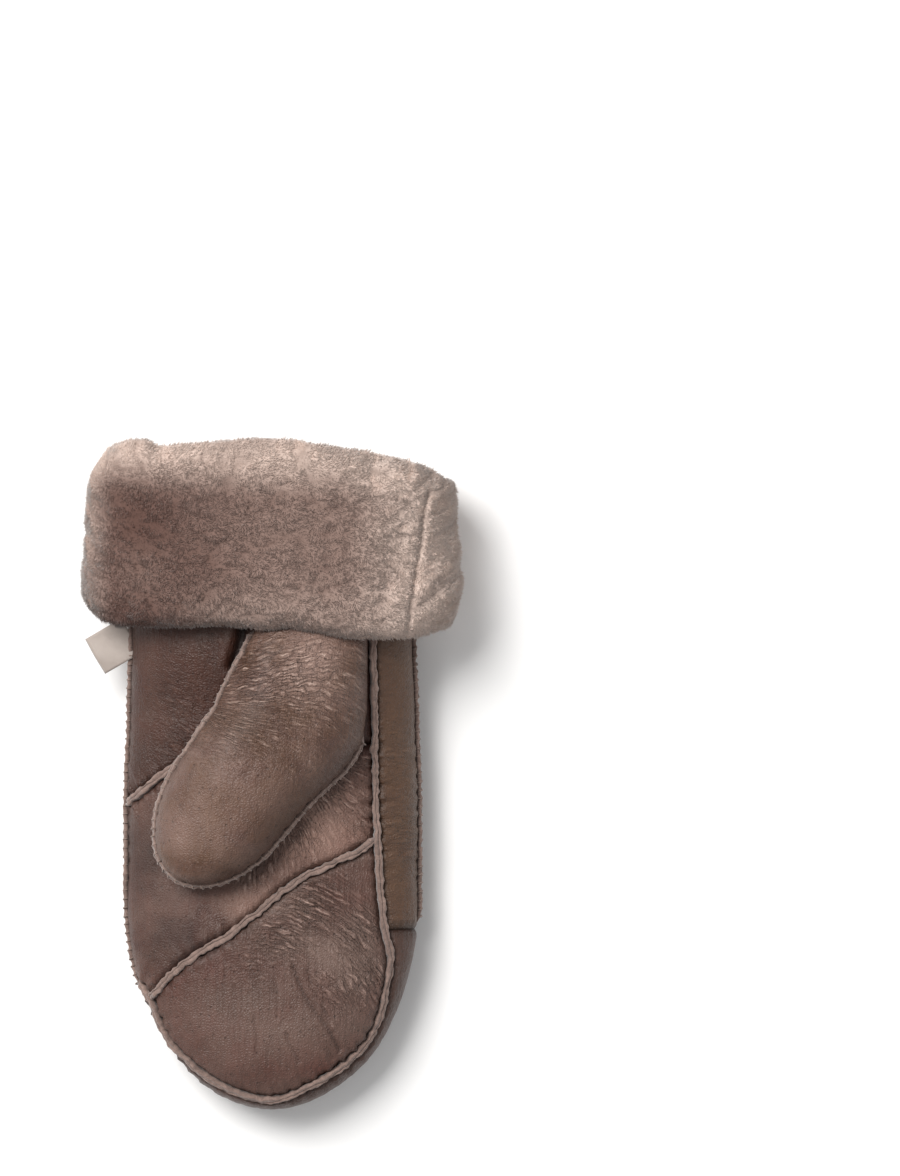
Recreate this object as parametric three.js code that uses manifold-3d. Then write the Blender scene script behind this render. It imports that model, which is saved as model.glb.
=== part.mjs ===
// A winter mitten sewn from sheepskin: leather outside, fleece inside, with a turned-up fleece cuff.
// It lies on its back with the palm up and the thumb folded over the palm.
// +Z is up, +X is the thumb side and +Y runs from the fingertips to the cuff. Lengths are millimetres.
// The origin lies on the surface under the middle of the mitten.
import * as THREE from "three";
import { mergeVertices } from "three/addons/utils/BufferGeometryUtils.js";
import Module from "manifold-3d";

const wasm = await Module();
wasm.setup();

// Overall sizes
const mittenLength = 270; // fingertip to the fold of the cuff
const handWidth = 117;
const handThickness = 38;
const tipLength = 85; // the round end of the finger pocket
const hide = 7; // skin and fleece together

// The cuff
const cuffWidth = 154;
const cuffThickness = 63;
const cuffLength = 77; // hem to fold
const cuffPile = 9; // fleece pressed flat under the wrist
const foldDrop = 14; // the fold lies lower on the thumb side
const foldCorner = 5; // and falls off at the other side
const hemSlant = 4.5;
const hemWave = 0.6;
const cuffTaper = 3; // narrower at the fold, each side
const capDepth = 9; // fleece over the end of the wrist
const sleeveEase = 1; // room between wrist and flap all round
const sleeveSlack = 8; // and more of it at the sides towards the hem
const tuftRelief = 1.3;

// The thumb
const thumbWidth = 50;
const thumbHeight = 27; // its crown above the palm
const thumbRun = 68; // from the cuff to the thumb's round end, along the hand
const thumbSweep = 31.5; // and across the palm
const thumbAngle = 36; // degrees
const thumbTipLength = 40;
const thumbRootInset = 75; // from the fold to the start of the thumb
const thumbClearance = 1; // air between the free thumb and the palm

// Seams, whose raw edges stand outwards in a groove between two panels
const seamGap = 0.4;
const edgeWidth = 4;
const edgeHeight = 3;
const edgeTuck = 6; // how far the raised edges run under the cuff
const grooveWidth = 11;
const grooveDepth = 2.6;
const sideEdgeReach = 2;
const seamStep = 10;
const cutDepth = hide + 2.5;
const cutReach = 5; // out of the hide
const cutOverrun = 1.2; // past the ends of a seam
const smallestDetail = 0.15;

// The label, a folded ribbon in the side seam
const labelWidth = 16;
const labelReach = 17;
const labelThickness = 1;
const labelTilt = 30; // degrees
const labelDroop = 8; // degrees
const labelInset = 3; // below the hem

const leatherColour = 0x6f5850;
const edgeColour = 0x9a857b;
const fleeceColour = 0x8f7a70;
const labelColour = 0xb5a89f;

const tipY = -mittenLength / 2;
const foldY = mittenLength / 2;
const tipStartY = tipY + tipLength;
const wristEndY = foldY - foldDrop - capDepth;
const hemY = foldY - cuffLength;
const edgeStartY = hemY + edgeTuck;
const jointY = tipStartY - 0.145 * tipLength; // where the side strips meet the strip round the tip

// Sections of the hand from the start of the round tip to the wrist end. along is the share of that length.
// The others are shares of the hand's width and thickness and of the fleece under the cuff.
const handSections = [
  { along: 0.0, width: 1.0, thickness: 1.0, lift: 0.0 },
  { along: 0.25, width: 1.0, thickness: 1.0, lift: 0.0 },
  { along: 0.45, width: 0.98, thickness: 1.02, lift: 0.12 },
  { along: 0.65, width: 0.96, thickness: 1.04, lift: 0.75 },
  { along: 0.78, width: 0.975, thickness: 1.05, lift: 1.0 },
  { along: 1.0, width: 1.03, thickness: 1.05, lift: 1.0 },
];
const seamHeightShare = 0.44; // height of the side seams in the hand's thickness
const palmRoundness = 2.3;
const backRoundness = 2.6;
const backSag = 2.5; // how far the back is pressed flat

// Sections of the thumb from the cuff to its round end, as shares of the sizes above. left and right are the
// heights of its two edges above the palm. crown and under are its rise and drop from there. free is 1 where
// the thumb lies loose on the palm and 0 where it opens into the hand.
const thumbSections = [
  { x: 0.0, y: 0.0, width: 0.88, turn: 0.0, left: 0.08, right: 0.06, crown: 0.3, under: 0.75, free: 0 },
  { x: 0.084, y: 0.206, width: 0.994, turn: 0.15, left: 0.08, right: 0.06, crown: 0.5, under: 1.0, free: 0 },
  { x: 0.2, y: 0.426, width: 1.14, turn: 0.26, left: 0.08, right: 0.06, crown: 0.68, under: 1.05, free: 0 },
  { x: 0.28, y: 0.58, width: 1.19, turn: 0.4, left: 0.15, right: 0.1, crown: 0.74, under: 1.0, free: 0 },
  { x: 0.43, y: 0.69, width: 1.13, turn: 0.66, left: 0.24, right: 0.22, crown: 0.66, under: 0.65, free: 0.5 },
  { x: 0.68, y: 0.805, width: 1.04, turn: 1.0, left: 0.33, right: 0.33, crown: 0.57, under: 0.42, free: 1 },
  { x: 1.0, y: 1.0, width: 1.0, turn: 1.0, left: 0.36, right: 0.36, crown: 0.56, under: 0.42, free: 1 },
];
const thumbSeamEnd = 0.45; // how far up the thumb its lower seam meets the palm seam

// Seams on the palm and on the back. across is a share of the half width there and along a share of the
// length from the tip.
const palmSeamRows = [
  { across: 0.7, along: 0.93 },
  { across: 0.722, along: 0.7 },
  { across: 0.72, along: 0.56 },
  { across: 0.718, along: 0.45 },
  { across: 0.74, along: 0.342 },
  { across: 0.784, along: 0.27 },
  { across: 0.843, along: 0.23 },
  { across: 0.87, along: 0.18 },
  { across: 0.888, along: 0.13 },
  { across: 0.87, along: 0.095 },
  { across: 0.78, along: 0.066 },
  { across: 0.6, along: 0.04 },
  { across: 0.3, along: 0.022 },
  { across: -0.15, along: 0.017 },
  { across: -0.6, along: 0.028 },
  { across: -0.82, along: 0.05 },
  { across: -0.93, along: 0.08 },
  { across: -0.968, along: 0.115 },
  { across: -0.96, along: 0.16 },
  { across: -1.0, along: 0.19 },
];
const diagonalRows = [
  { across: -0.965, along: 0.168 },
  { across: -0.6, along: 0.225 },
  { across: -0.28, along: 0.265 },
  { across: 0.2, along: 0.348 },
  { across: 0.5, along: 0.376 },
  { across: 0.724, along: 0.405 },
];
const crossRows = [
  { across: -1.0, along: 0.458 },
  { across: -0.62, along: 0.516 },
  { across: -0.2, along: 0.545 },
  { across: 0.3, along: 0.548 },
  { across: 0.72, along: 0.545 },
];
const backCentreRows = [
  { across: -0.02, along: 0.93 },
  { across: -0.035, along: 0.7 },
  { across: -0.105, along: 0.54 },
  { across: -0.12, along: 0.4 },
  { across: -0.115, along: 0.25 },
  { across: -0.135, along: 0.15 },
  { across: -0.12, along: 0.06 },
  { across: 0.0, along: 0.0 },
];
const backSideRows = [
  { across: 0.93, along: 0.93 },
  { across: 0.935, along: 0.69 },
  { across: 0.86, along: 0.516 },
  { across: 0.825, along: 0.42 },
  { across: 0.82, along: 0.29 },
  { across: 0.81, along: 0.245 },
  { across: 0.85, along: 0.147 },
  { across: 0.87, along: 0.1 },
  { across: 0.85, along: 0.055 },
  { across: 0.72, along: 0.018 },
  { across: 0.0, along: 0.0 },
];

const lastRing = 0.985; // how far round the tip the last ring lies

const mix = (a, b, t) => a + (b - a) * t;
const clamp = (v, low, high) => Math.min(high, Math.max(low, v));
const dome = (u, roundness) =>
  Math.pow(Math.max(0, 1 - Math.pow(Math.min(1, Math.abs(u)), roundness)), 1 / roundness);

// Reads a table of rows at a place, easing between the two nearest rows.
function readTable(rows, key, place, column) {
  let i = 0;
  while (i < rows.length - 2 && place > rows[i + 1][key]) i++;
  const t = clamp((place - rows[i][key]) / (rows[i + 1][key] - rows[i][key]), 0, 1);
  return mix(rows[i][column], rows[i + 1][column], t * t * (3 - 2 * t));
}

// The hand's section at y, drawn in by inset for the inside of the hide.
function handSection(y, inset = 0) {
  const along = clamp((y - tipStartY) / (wristEndY - tipStartY), 0, 1);
  const t = clamp((tipStartY - y) / (tipLength - inset), 0, 1);
  const thickness = handThickness * readTable(handSections, "along", along, "thickness");
  const floor = cuffPile * readTable(handSections, "along", along, "lift");
  const height = Math.pow(1 - t ** 3, 1 / 3);
  const width = handWidth * readTable(handSections, "along", along, "width");
  return {
    half: (width / 2 - inset) * Math.sqrt(1 - t * t),
    seamZ: floor + seamHeightShare * thickness,
    rise: ((1 - seamHeightShare) * thickness - inset) * height,
    drop: (seamHeightShare * thickness - inset + (inset > 0 ? 0 : backSag)) * height,
    floor: floor + inset,
  };
}

function palmZ(x, y, inset = 0) {
  const s = handSection(y, inset);
  return s.seamZ + s.rise * dome(x / s.half, palmRoundness);
}

function backZ(x, y, inset = 0) {
  const s = handSection(y, inset);
  return Math.max(s.floor, s.seamZ - s.drop * dome(x / s.half, backRoundness));
}

// A closed solid through rings of points, with a point or a flat cap at each end.
function loft(rings) {
  const count = rings[0].length;
  const positions = rings.flat().flatMap((p) => [p.x, p.y, p.z]);
  const index = [];
  for (let r = 0; r < rings.length - 1; r++)
    for (let k = 0; k < count; k++) {
      const a = r * count + k;
      const b = r * count + ((k + 1) % count);
      index.push(a, b, b + count, a, b + count, a + count);
    }
  for (const [ring, start] of [[rings[0], 0], [rings.at(-1), (rings.length - 1) * count]]) {
    const middle = ring.reduce((sum, p) => sum.add(p), new THREE.Vector3()).divideScalar(count);
    const hub = positions.length / 3;
    positions.push(middle.x, middle.y, middle.z);
    for (let k = 0; k < count; k++) {
      const a = start + k;
      const b = start + ((k + 1) % count);
      index.push(...(start ? [a, b, hub] : [b, a, hub]));
    }
  }
  const geometry = new THREE.BufferGeometry();
  geometry.setAttribute("position", new THREE.Float32BufferAttribute(positions, 3));
  geometry.setIndex(index);
  return solid(geometry);
}

// A solid from a closed surface, whichever way round its faces are.
function solid(geometry) {
  geometry.deleteAttribute("normal");
  geometry.deleteAttribute("uv");
  const merged = mergeVertices(geometry, smallestDetail / 1000);
  const index = merged.index.array;
  const kept = [];
  for (let i = 0; i < index.length; i += 3)
    if (index[i] !== index[i + 1] && index[i + 1] !== index[i + 2] && index[i] !== index[i + 2])
      kept.push(index[i], index[i + 1], index[i + 2]);
  const vertProperties = merged.attributes.position.array;
  const build = (corners) =>
    new wasm.Manifold(new wasm.Mesh({ numProp: 3, vertProperties, triVerts: new Uint32Array(corners) }));
  const made = build(kept);
  return made.volume() > 0 ? made : build(kept.reverse());
}

// The places of the hand's rings, evenly down the straight part and closer towards the tip. The hollow's
// run out through the wrist end.
function handPlaces(inset, straightSteps, tipSteps) {
  const startY = wristEndY + (inset > 0 ? 2 * capDepth : 0);
  const reach = tipLength - Math.max(0, inset);
  const places = [];
  for (let i = 0; i <= straightSteps; i++) places.push(mix(startY, tipStartY, i / straightSteps));
  for (let i = 1; i <= tipSteps; i++)
    places.push(tipStartY - reach * Math.sin(((Math.PI / 2) * lastRing * i) / tipSteps));
  return places;
}

// The finger pocket, wrist included, or the hollow inside it.
function handSolid(inset, places, palmSteps, backSteps) {
  return loft(places.map((y) => {
    const s = handSection(y, inset);
    const ring = [];
    for (let k = 0; k < palmSteps; k++) {
      const x = s.half * Math.cos((Math.PI * k) / palmSteps);
      ring.push(new THREE.Vector3(x, y, palmZ(x, y, inset)));
    }
    for (let k = 0; k < backSteps; k++) {
      const x = -s.half * Math.cos((Math.PI * k) / backSteps);
      ring.push(new THREE.Vector3(x, y, backZ(x, y, inset)));
    }
    return ring;
  }));
}

// The thumb's section at a place, from 0 at the cuff to 1 at the start of its round end and 2 at its tip.
function thumbSection(place, inset = 0) {
  const rowPlace = clamp(place, 0, 1) * (thumbSections.length - 1);
  const i = Math.min(Math.floor(rowPlace), thumbSections.length - 2);
  const t = rowPlace - i;
  const row = {};
  for (const [key, value] of Object.entries(thumbSections[i]))
    row[key] = mix(value, thumbSections[i + 1][key], t);
  const tip = clamp(place - 1, 0, 1);
  const turn = THREE.MathUtils.degToRad(thumbAngle * row.turn);
  const rootHalf = (thumbSections[0].width * thumbWidth) / 2;
  const rootY = foldY - thumbRootInset;
  const seamX = palmSeamRows[1].across * handSection(rootY).half - edgeWidth / 2 - seamGap;
  const advance = (thumbTipLength - inset) * Math.sin((Math.PI / 2) * tip);
  const centre = new THREE.Vector2(
    seamX - rootHalf - thumbSweep * row.x - advance * Math.sin(turn),
    rootY - thumbRun * row.y - advance * Math.cos(turn),
  );
  const narrowing = Math.cos((Math.PI / 2) * tip);
  const half = ((row.width * thumbWidth) / 2 - inset) * narrowing;
  const flattening = Math.pow(1 - Math.sin((Math.PI / 2) * tip) ** 3, 1 / 3);
  const direction = new THREE.Vector2(Math.cos(turn), -Math.sin(turn));
  const edgeZ = (side, level) => {
    const edge = centre.clone().addScaledVector(direction, (side * row.width * thumbWidth * narrowing) / 2);
    return palmZ(edge.x, edge.y) + level * thumbHeight;
  };
  return {
    centre,
    direction,
    half,
    leftZ: edgeZ(-1, row.left),
    rightZ: edgeZ(1, row.right),
    crown: (row.crown * thumbHeight - inset) * flattening,
    under: (row.under * thumbHeight - inset) * flattening,
    free: row.free,
  };
}

function thumbPoint(section, v, side, inset) {
  const at = section.centre.clone().addScaledVector(section.direction, v * section.half);
  const middleZ = mix(section.leftZ, section.rightZ, (v + 1) / 2);
  if (side > 0) return new THREE.Vector3(at.x, at.y, middleZ + section.crown * dome(v, palmRoundness));
  const rest = palmZ(at.x, at.y) + thumbClearance + inset;
  const low = middleZ - section.under * dome(v, palmRoundness);
  return new THREE.Vector3(at.x, at.y, Math.min(middleZ, mix(low, Math.max(low, rest), section.free)));
}

// The places of the thumb's rings.
function thumbPlaces(inset, bodySteps, tipSteps) {
  const start = inset > 0 ? hide / thumbRun : 0;
  const places = [];
  for (let i = 0; i <= bodySteps; i++) places.push(mix(start, 1, i / bodySteps));
  for (let i = 1; i <= tipSteps; i++) places.push(1 + (lastRing * i) / tipSteps);
  return places;
}

function thumbSolid(inset, places, steps) {
  return loft(places.map((place) => {
    const section = thumbSection(place, inset);
    const across = Array.from({ length: steps }, (_, k) => Math.cos((Math.PI * k) / steps));
    return [
      ...across.map((v) => thumbPoint(section, v, 1, inset)),
      ...across.map((v) => thumbPoint(section, -v, -1, inset)),
    ];
  }));
}

// Adds to each point of a seam the way out of the hide there and the way across the seam.
function withFrames(points, normals) {
  return points.map((point, i) => {
    const ahead = points[Math.min(i + 1, points.length - 1)];
    const behind = points[Math.max(i - 1, 0)];
    const along = ahead.clone().sub(behind).normalize();
    const out = normals[i].clone().addScaledVector(along, -normals[i].dot(along)).normalize();
    return { point, out, side: new THREE.Vector3().crossVectors(along, out) };
  });
}

// A seam over the palm or the back, through the rows of its table. One that comes down to 0 ends at the tip.
function surfaceSeam(rows, heightAt, facing) {
  const plan = rows.map(({ across, along }) => {
    const y = tipY + along * mittenLength;
    return new THREE.Vector3(across * handSection(y).half, y, 0);
  });
  const curve = new THREE.CatmullRomCurve3(plan, false, "centripetal");
  const spaced = curve.getSpacedPoints(Math.ceil(curve.getLength() / seamStep));
  const steepest = 6; // slope at which the way out of the hide is read near the tip
  const margin = 0.015; // share of the half width kept clear of the side
  const points = [];
  const normals = [];
  for (const p of spaced.filter(({ y }) => y > tipY + seamStep / 6)) {
    const { half } = handSection(p.y);
    const x = clamp(p.x, -half, half);
    points.push(new THREE.Vector3(x, p.y, heightAt(x, p.y)));
    const inner = clamp(x, -(1 - margin) * half, (1 - margin) * half);
    const step = (margin * half) / 3;
    const slopeX = (heightAt(inner + step, p.y) - heightAt(inner - step, p.y)) / (2 * step);
    const innerY = (1 - 2 * margin) * inner;
    const slopeY = (heightAt(innerY, p.y + step) - heightAt(innerY, p.y - step)) / (2 * step);
    const out = new THREE.Vector3(-slopeX, -clamp(slopeY, -steepest, steepest), 1);
    normals.push(out.multiplyScalar(facing).normalize());
  }
  if (rows.at(-1).along === 0) {
    points.push(new THREE.Vector3(0, tipY, handSection(tipY).seamZ));
    normals.push(new THREE.Vector3(0, -1, 0));
  }
  return withFrames(points, normals);
}

// A seam along the left or right edge of the hand, side -1 or 1, from the wrist to one y.
function edgeSeam(side, toY) {
  const places = handOuterPlaces.filter((y) => y > toY + 1).concat(toY);
  const points = places.map((y) => {
    const s = handSection(y);
    return new THREE.Vector3(side * s.half, y, s.seamZ);
  });
  const normals = points.map((p, i) => {
    const ahead = points[Math.min(i + 1, points.length - 1)];
    const behind = points[Math.max(i - 1, 0)];
    return new THREE.Vector3(side * (behind.y - ahead.y), side * (ahead.x - behind.x), 0).normalize();
  });
  return withFrames(points, normals);
}

// The seam round the thumb: down its left edge, round its tip and up its right edge to endPlace.
function thumbSeam(endPlace) {
  const down = thumbOuterPlaces.map((place) => [-1, place]);
  const up = thumbOuterPlaces.filter((place) => place > endPlace).map((place) => [1, place]).reverse();
  const points = [...down, ...up].map(([side, place]) => {
    const s = thumbSection(place);
    const at = s.centre.clone().addScaledVector(s.direction, side * s.half);
    return new THREE.Vector3(at.x, at.y, side < 0 ? s.leftZ : s.rightZ);
  });
  const normals = points.map((p, i) => {
    const ahead = points[Math.min(i + 1, points.length - 1)];
    const behind = points[Math.max(i - 1, 0)];
    return new THREE.Vector3(ahead.y - behind.y, behind.x - ahead.x, 0).normalize();
  });
  return withFrames(points, normals);
}

// A sheet across the thumb that parts its outer panel from its inner one.
function thumbSheet() {
  const overhang = 1;
  const stations = 16;
  const rings = [];
  for (let i = 0; i <= stations; i++) {
    const s = thumbSection((2 * i) / stations);
    const corner = (side, up) => {
      const at = s.centre.clone().addScaledVector(s.direction, side * (s.half + overhang));
      return new THREE.Vector3(at.x, at.y, (side < 0 ? s.leftZ : s.rightZ) + (up * seamGap) / 2);
    };
    rings.push([corner(-1, -1), corner(1, -1), corner(1, 1), corner(-1, 1)]);
  }
  for (const p of rings[0]) p.y += overhang;
  for (const p of rings.at(-1)) p.add(new THREE.Vector3(-overhang, -overhang, 0));
  return loft(rings);
}

// A bar of the given outline along a seam, made of one block for each step. The outline's points are
// [across, outwards] and go round a convex shape.
function sweep(seam, outline, stretch = 0) {
  const rings = seam.map(({ point, out, side }, i) => {
    const atEnd = i === 0 ? -1 : i === seam.length - 1 ? 1 : 0;
    const along = new THREE.Vector3().crossVectors(out, side);
    return outline.map(([across, outwards]) =>
      point.clone().addScaledVector(side, across).addScaledVector(out, outwards)
        .addScaledVector(along, atEnd * stretch).toArray(),
    );
  });
  const blocks = rings.slice(1).map((ring, i) => wasm.Manifold.hull([...rings[i], ...ring]));
  return wasm.Manifold.union(blocks);
}

const cutOutline = [
  [-seamGap / 2, cutReach],
  [-seamGap / 2, -cutDepth],
  [seamGap / 2, -cutDepth],
  [seamGap / 2, cutReach],
];
const grooveOutline = [
  [-grooveWidth / 2, cutReach],
  [-grooveWidth / 2, seamGap],
  [-edgeWidth / 2 - seamGap, -grooveDepth],
  [edgeWidth / 2 + seamGap, -grooveDepth],
  [grooveWidth / 2, seamGap],
  [grooveWidth / 2, cutReach],
];
// The two raw edges of a seam, pressed together. low and high are heights from the hide's surface.
const edgeOutline = ({ low, high, width }, grow = 0) => {
  const half = width / 2 + grow;
  const shoulder = mix(low, high, 3 / 4) + grow;
  return [
    [-half, low - grow],
    [-half, shoulder],
    [-half / 2, high + grow],
    [half / 2, high + grow],
    [half, shoulder],
    [half, low - grow],
  ];
};

const { union } = wasm.Manifold;
const largest = (solid) => solid.decompose().sort((a, b) => b.volume() - a.volume())[0];

const handOuterPlaces = handPlaces(0, 13, 9);
const handRoomPlaces = handPlaces(-seamGap, 13, 9);
const handHollowPlaces = handPlaces(hide, 7, 5);
const thumbOuterPlaces = thumbPlaces(0, 10, 7);
const thumbHollowPlaces = thumbPlaces(hide, 8, 5);
const palmSteps = 18;
const backSteps = 12;
const thumbSteps = 9;

// Seams of the hand
const palmSeam = surfaceSeam(palmSeamRows, palmZ, 1);
const diagonalSeam = surfaceSeam(diagonalRows, palmZ, 1);
const crossSeam = surfaceSeam(crossRows, palmZ, 1);
const backCentreSeam = surfaceSeam(backCentreRows, backZ, -1);
const backSideSeam = surfaceSeam(backSideRows, backZ, -1);
const leftSeam = edgeSeam(-1, tipY);
const rightSeam = edgeSeam(1, jointY);
const inView = (seam) => seam.filter(({ point }) => point.y < edgeStartY);
const centreInView = inView(backCentreSeam).slice(0, -1); // up to the tip, where the seams run together
const sideInView = inView(backSideSeam).slice(0, -1);

// The frame of a seam where it crosses a given y.
function frameAt(seam, y) {
  const i = seam.findIndex(({ point }, k) => k > 0 && (point.y - y) * (seam[k - 1].point.y - y) <= 0);
  const t = (y - seam[i - 1].point.y) / (seam[i].point.y - seam[i - 1].point.y);
  return {
    point: seam[i - 1].point.clone().lerp(seam[i].point, t),
    out: seam[i - 1].out.clone().lerp(seam[i].out, t),
  };
}

// The cut across the side strips, where they meet the strip round the tip.
function jointCut() {
  const palm = frameAt(palmSeam, jointY);
  const back = frameAt(backSideSeam, jointY);
  const corners = [
    palm.point.clone().addScaledVector(palm.out, 2),
    palm.point.clone().addScaledVector(palm.out, -cutDepth),
    back.point.clone().addScaledVector(back.out, -cutDepth),
    back.point.clone().addScaledVector(back.out, 2),
    new THREE.Vector3(handWidth, 0, back.point.z - 2),
    new THREE.Vector3(handWidth, 0, palm.point.z + 2),
  ];
  const outline = new THREE.Shape(corners.map(({ x, z }) => new THREE.Vector2(x, z)));
  const wall = new THREE.ExtrudeGeometry(outline, { depth: seamGap, bevelEnabled: false });
  return solid(wall.rotateX(Math.PI / 2).translate(0, jointY + seamGap / 2, 0));
}

const handOuter = handSolid(0, handOuterPlaces, palmSteps, backSteps);
const handHollow = handSolid(hide, handHollowPlaces, palmSteps - 8, backSteps - 4);
const handRoom = handSolid(-seamGap, handRoomPlaces, palmSteps, backSteps); // the hand with the gap round it
const thumbOuter = thumbSolid(0, thumbOuterPlaces, thumbSteps);
const thumbHollow = thumbSolid(hide, thumbHollowPlaces, thumbSteps - 2);
const thumbRoom = thumbSolid(-seamGap, thumbOuterPlaces, thumbSteps);

const surfaceSeams = [palmSeam, diagonalSeam, crossSeam, backCentreSeam, backSideSeam];
const handSeams = [...surfaceSeams, leftSeam, rightSeam];
const handCuts = union([...handSeams.map((seam) => sweep(seam, cutOutline, cutOverrun)), jointCut()]);
const grooved = [inView(palmSeam), diagonalSeam, crossSeam, centreInView, sideInView];
const handGrooves = union(grooved.map((seam) => sweep(seam, grooveOutline, cutOverrun)));
const handShell = handOuter.subtract(handHollow).subtract(handGrooves);
const handPieces = handShell.subtract(handCuts).subtract(thumbRoom).decompose();
const thumbShell = thumbOuter.subtract(thumbHollow).subtract(handHollow);
const thumbPieces = thumbShell.subtract(thumbSheet()).decompose();

// The piece that holds most of a small post standing at a place.
function pieceAt(pieces, x, y, lowZ, highZ) {
  const post = solid(new THREE.BoxGeometry(hide, hide, highZ - lowZ).translate(x, y, (lowZ + highZ) / 2));
  const shares = pieces.map((piece) => piece.intersect(post).volume());
  return pieces[shares.indexOf(Math.max(...shares))];
}
const onPalm = (across, along) => {
  const y = tipY + along * mittenLength;
  const s = handSection(y);
  return pieceAt(handPieces, across * s.half, y, s.seamZ + seamGap, s.seamZ + handThickness);
};
const onBack = (across, along) => {
  const y = tipY + along * mittenLength;
  const s = handSection(y);
  return pieceAt(handPieces, across * s.half, y, -hide, s.seamZ - seamGap);
};

// The cuff: a flap of hide folded outwards over the end of the wrist, fleece out.
// depth is 0 at the bore, 1 at the side towards the wrist and 2 at the outer face.
// along is 0 at the hem, 1 at the wrist's end and 2 at the fold.
const cuffProfile = [
  { depth: 1.25, along: 0.0 },
  { depth: 1.0, along: 0.07 },
  { depth: 1.0, along: 0.5 },
  { depth: 1.0, along: 1.0 },
  { depth: 0.0, along: 1.0 },
  { depth: 0.0, along: 1.5 },
  { depth: 0.3, along: 1.84 },
  { depth: 0.85, along: 2.0 },
  { depth: 1.4, along: 1.95 },
  { depth: 1.83, along: 1.68 },
  { depth: 2.0, along: 1.2 },
  { depth: 2.0, along: 0.8 },
  { depth: 2.0, along: 0.5 },
  { depth: 2.0, along: 0.22 },
  { depth: 1.9, along: 0.05 },
  { depth: 1.6, along: -0.03 },
];
const cuffSteps = 32;
const cuffRoundness = 2.6;
const cuffMiddle = 0.46; // height of its widest place in its thickness

// Where the fold and the hem lie, at a share of the half width from -1 to 1.
const foldAt = (share) =>
  foldY -
  foldDrop * Math.pow(clamp((share + 0.15) / 1.1, 0, 1), 1.4) -
  foldCorner * Math.max(0, -share - 0.75);
const hemAt = (share) => hemY - (hemSlant / 2) * share + hemWave * Math.sin(7 * share);

// The cuff's section at y in one of its depths: bore, sleeve or outer face, and what lies between them.
function cuffSection(y, depth) {
  const s = handSection(Math.min(y, wristEndY));
  const nearHem = clamp((wristEndY - y) / (wristEndY - hemY), 0, 1);
  const bore = { half: s.half - hide, top: s.seamZ + s.rise - hide, low: s.floor + hide, sag: 0 };
  const sleeve = {
    half: s.half + sleeveEase + sleeveSlack * nearHem,
    top: s.seamZ + s.rise + sleeveEase,
    low: s.floor - sleeveEase,
    sag: backSag,
  };
  const outer = { half: cuffWidth / 2 - cuffTaper * (1 - nearHem), top: cuffThickness, low: 0, sag: backSag };
  const [a, b, t] = depth < 1 ? [bore, sleeve, depth] : [sleeve, outer, depth - 1];
  const section = {};
  for (const key of Object.keys(a)) section[key] = mix(a[key], b[key], t);
  return section;
}

function cuffPoint(angle, depth, along) {
  const bulge = (value) => Math.sign(value) * Math.pow(Math.abs(value), 2 / cuffRoundness);
  const across = bulge(Math.cos(angle));
  const up = bulge(Math.sin(angle));
  const wristY = wristEndY + seamGap;
  const y = along < 1 ? mix(hemAt(across), wristY, along) : mix(wristY, foldAt(across), along - 1);
  const { half, top, low, sag } = cuffSection(y, depth);
  const middle = mix(low, top, cuffMiddle);
  const z = middle + up * (up > 0 ? top - middle : middle - low + sag);
  const fleece = clamp(3 * (depth - 1.3), 0, 1);
  const tuft = Math.sin(9 * angle + y / 3.2) * Math.sin(5 * angle - y / 4.3 + 1);
  const sink = (fleece * tuftRelief * (1 - tuft)) / cuffWidth;
  return new THREE.Vector3(across * half * (1 - sink), y, Math.max(low, middle + (z - middle) * (1 - sink)));
}

function cuffSolid() {
  const rings = [];
  for (let i = 0; i < cuffSteps; i++)
    rings.push(cuffProfile.map(({ depth, along }) => cuffPoint((2 * Math.PI * i) / cuffSteps, depth, along)));
  const count = cuffProfile.length;
  const index = [];
  for (let i = 0; i < cuffSteps; i++)
    for (let k = 0; k < count; k++) {
      const a = i * count + k;
      const b = i * count + ((k + 1) % count);
      const next = ((i + 1) % cuffSteps) * count;
      const c = next + ((k + 1) % count);
      index.push(a, b, c, a, c, next + k);
    }
  const geometry = new THREE.BufferGeometry();
  const positions = rings.flat().flatMap((p) => p.toArray());
  geometry.setAttribute("position", new THREE.Float32BufferAttribute(positions, 3));
  geometry.setIndex(index);
  return solid(geometry);
}

// The raised seam edges. Each one stops short of those made before it.
const seat = seamGap - grooveDepth;
const raised = { low: seat, high: seat + edgeHeight, width: edgeWidth };
const pressed = { low: seat, high: -seamGap / 2, width: edgeWidth };
const beside = { low: seamGap, high: sideEdgeReach, width: (3 / 4) * edgeWidth };
const palmEndY = palmSeam.at(-1).point.y;
const leftInView = inView(leftSeam).filter(({ point }) => point.y > palmEndY);
const crossInView = crossSeam.slice(0, Math.ceil(0.42 * crossSeam.length)); // the rest is under the thumb
const edgeRows = [
  { name: "palm_seam_edge", seam: inView(palmSeam), outline: raised, clearOf: thumbRoom },
  { name: "thumb_seam_edge", seam: thumbSeam(thumbSeamEnd), outline: beside, clearOf: handRoom },
  { name: "left_side_seam_edge", seam: leftInView, outline: beside, clearOf: thumbRoom },
  { name: "right_side_seam_edge", seam: inView(rightSeam), outline: beside, clearOf: thumbRoom },
  { name: "palm_diagonal_seam_edge", seam: diagonalSeam, outline: raised, clearOf: thumbRoom },
  { name: "palm_cross_seam_edge", seam: crossInView, outline: raised, clearOf: thumbRoom },
  { name: "back_centre_seam_edge", seam: centreInView, outline: pressed, clearOf: thumbRoom },
  { name: "back_side_seam_edge", seam: sideInView, outline: pressed, clearOf: thumbRoom },
];
let edgeRoom = thumbRoom; // the thumb and the edges so far, with the gap round them
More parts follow.
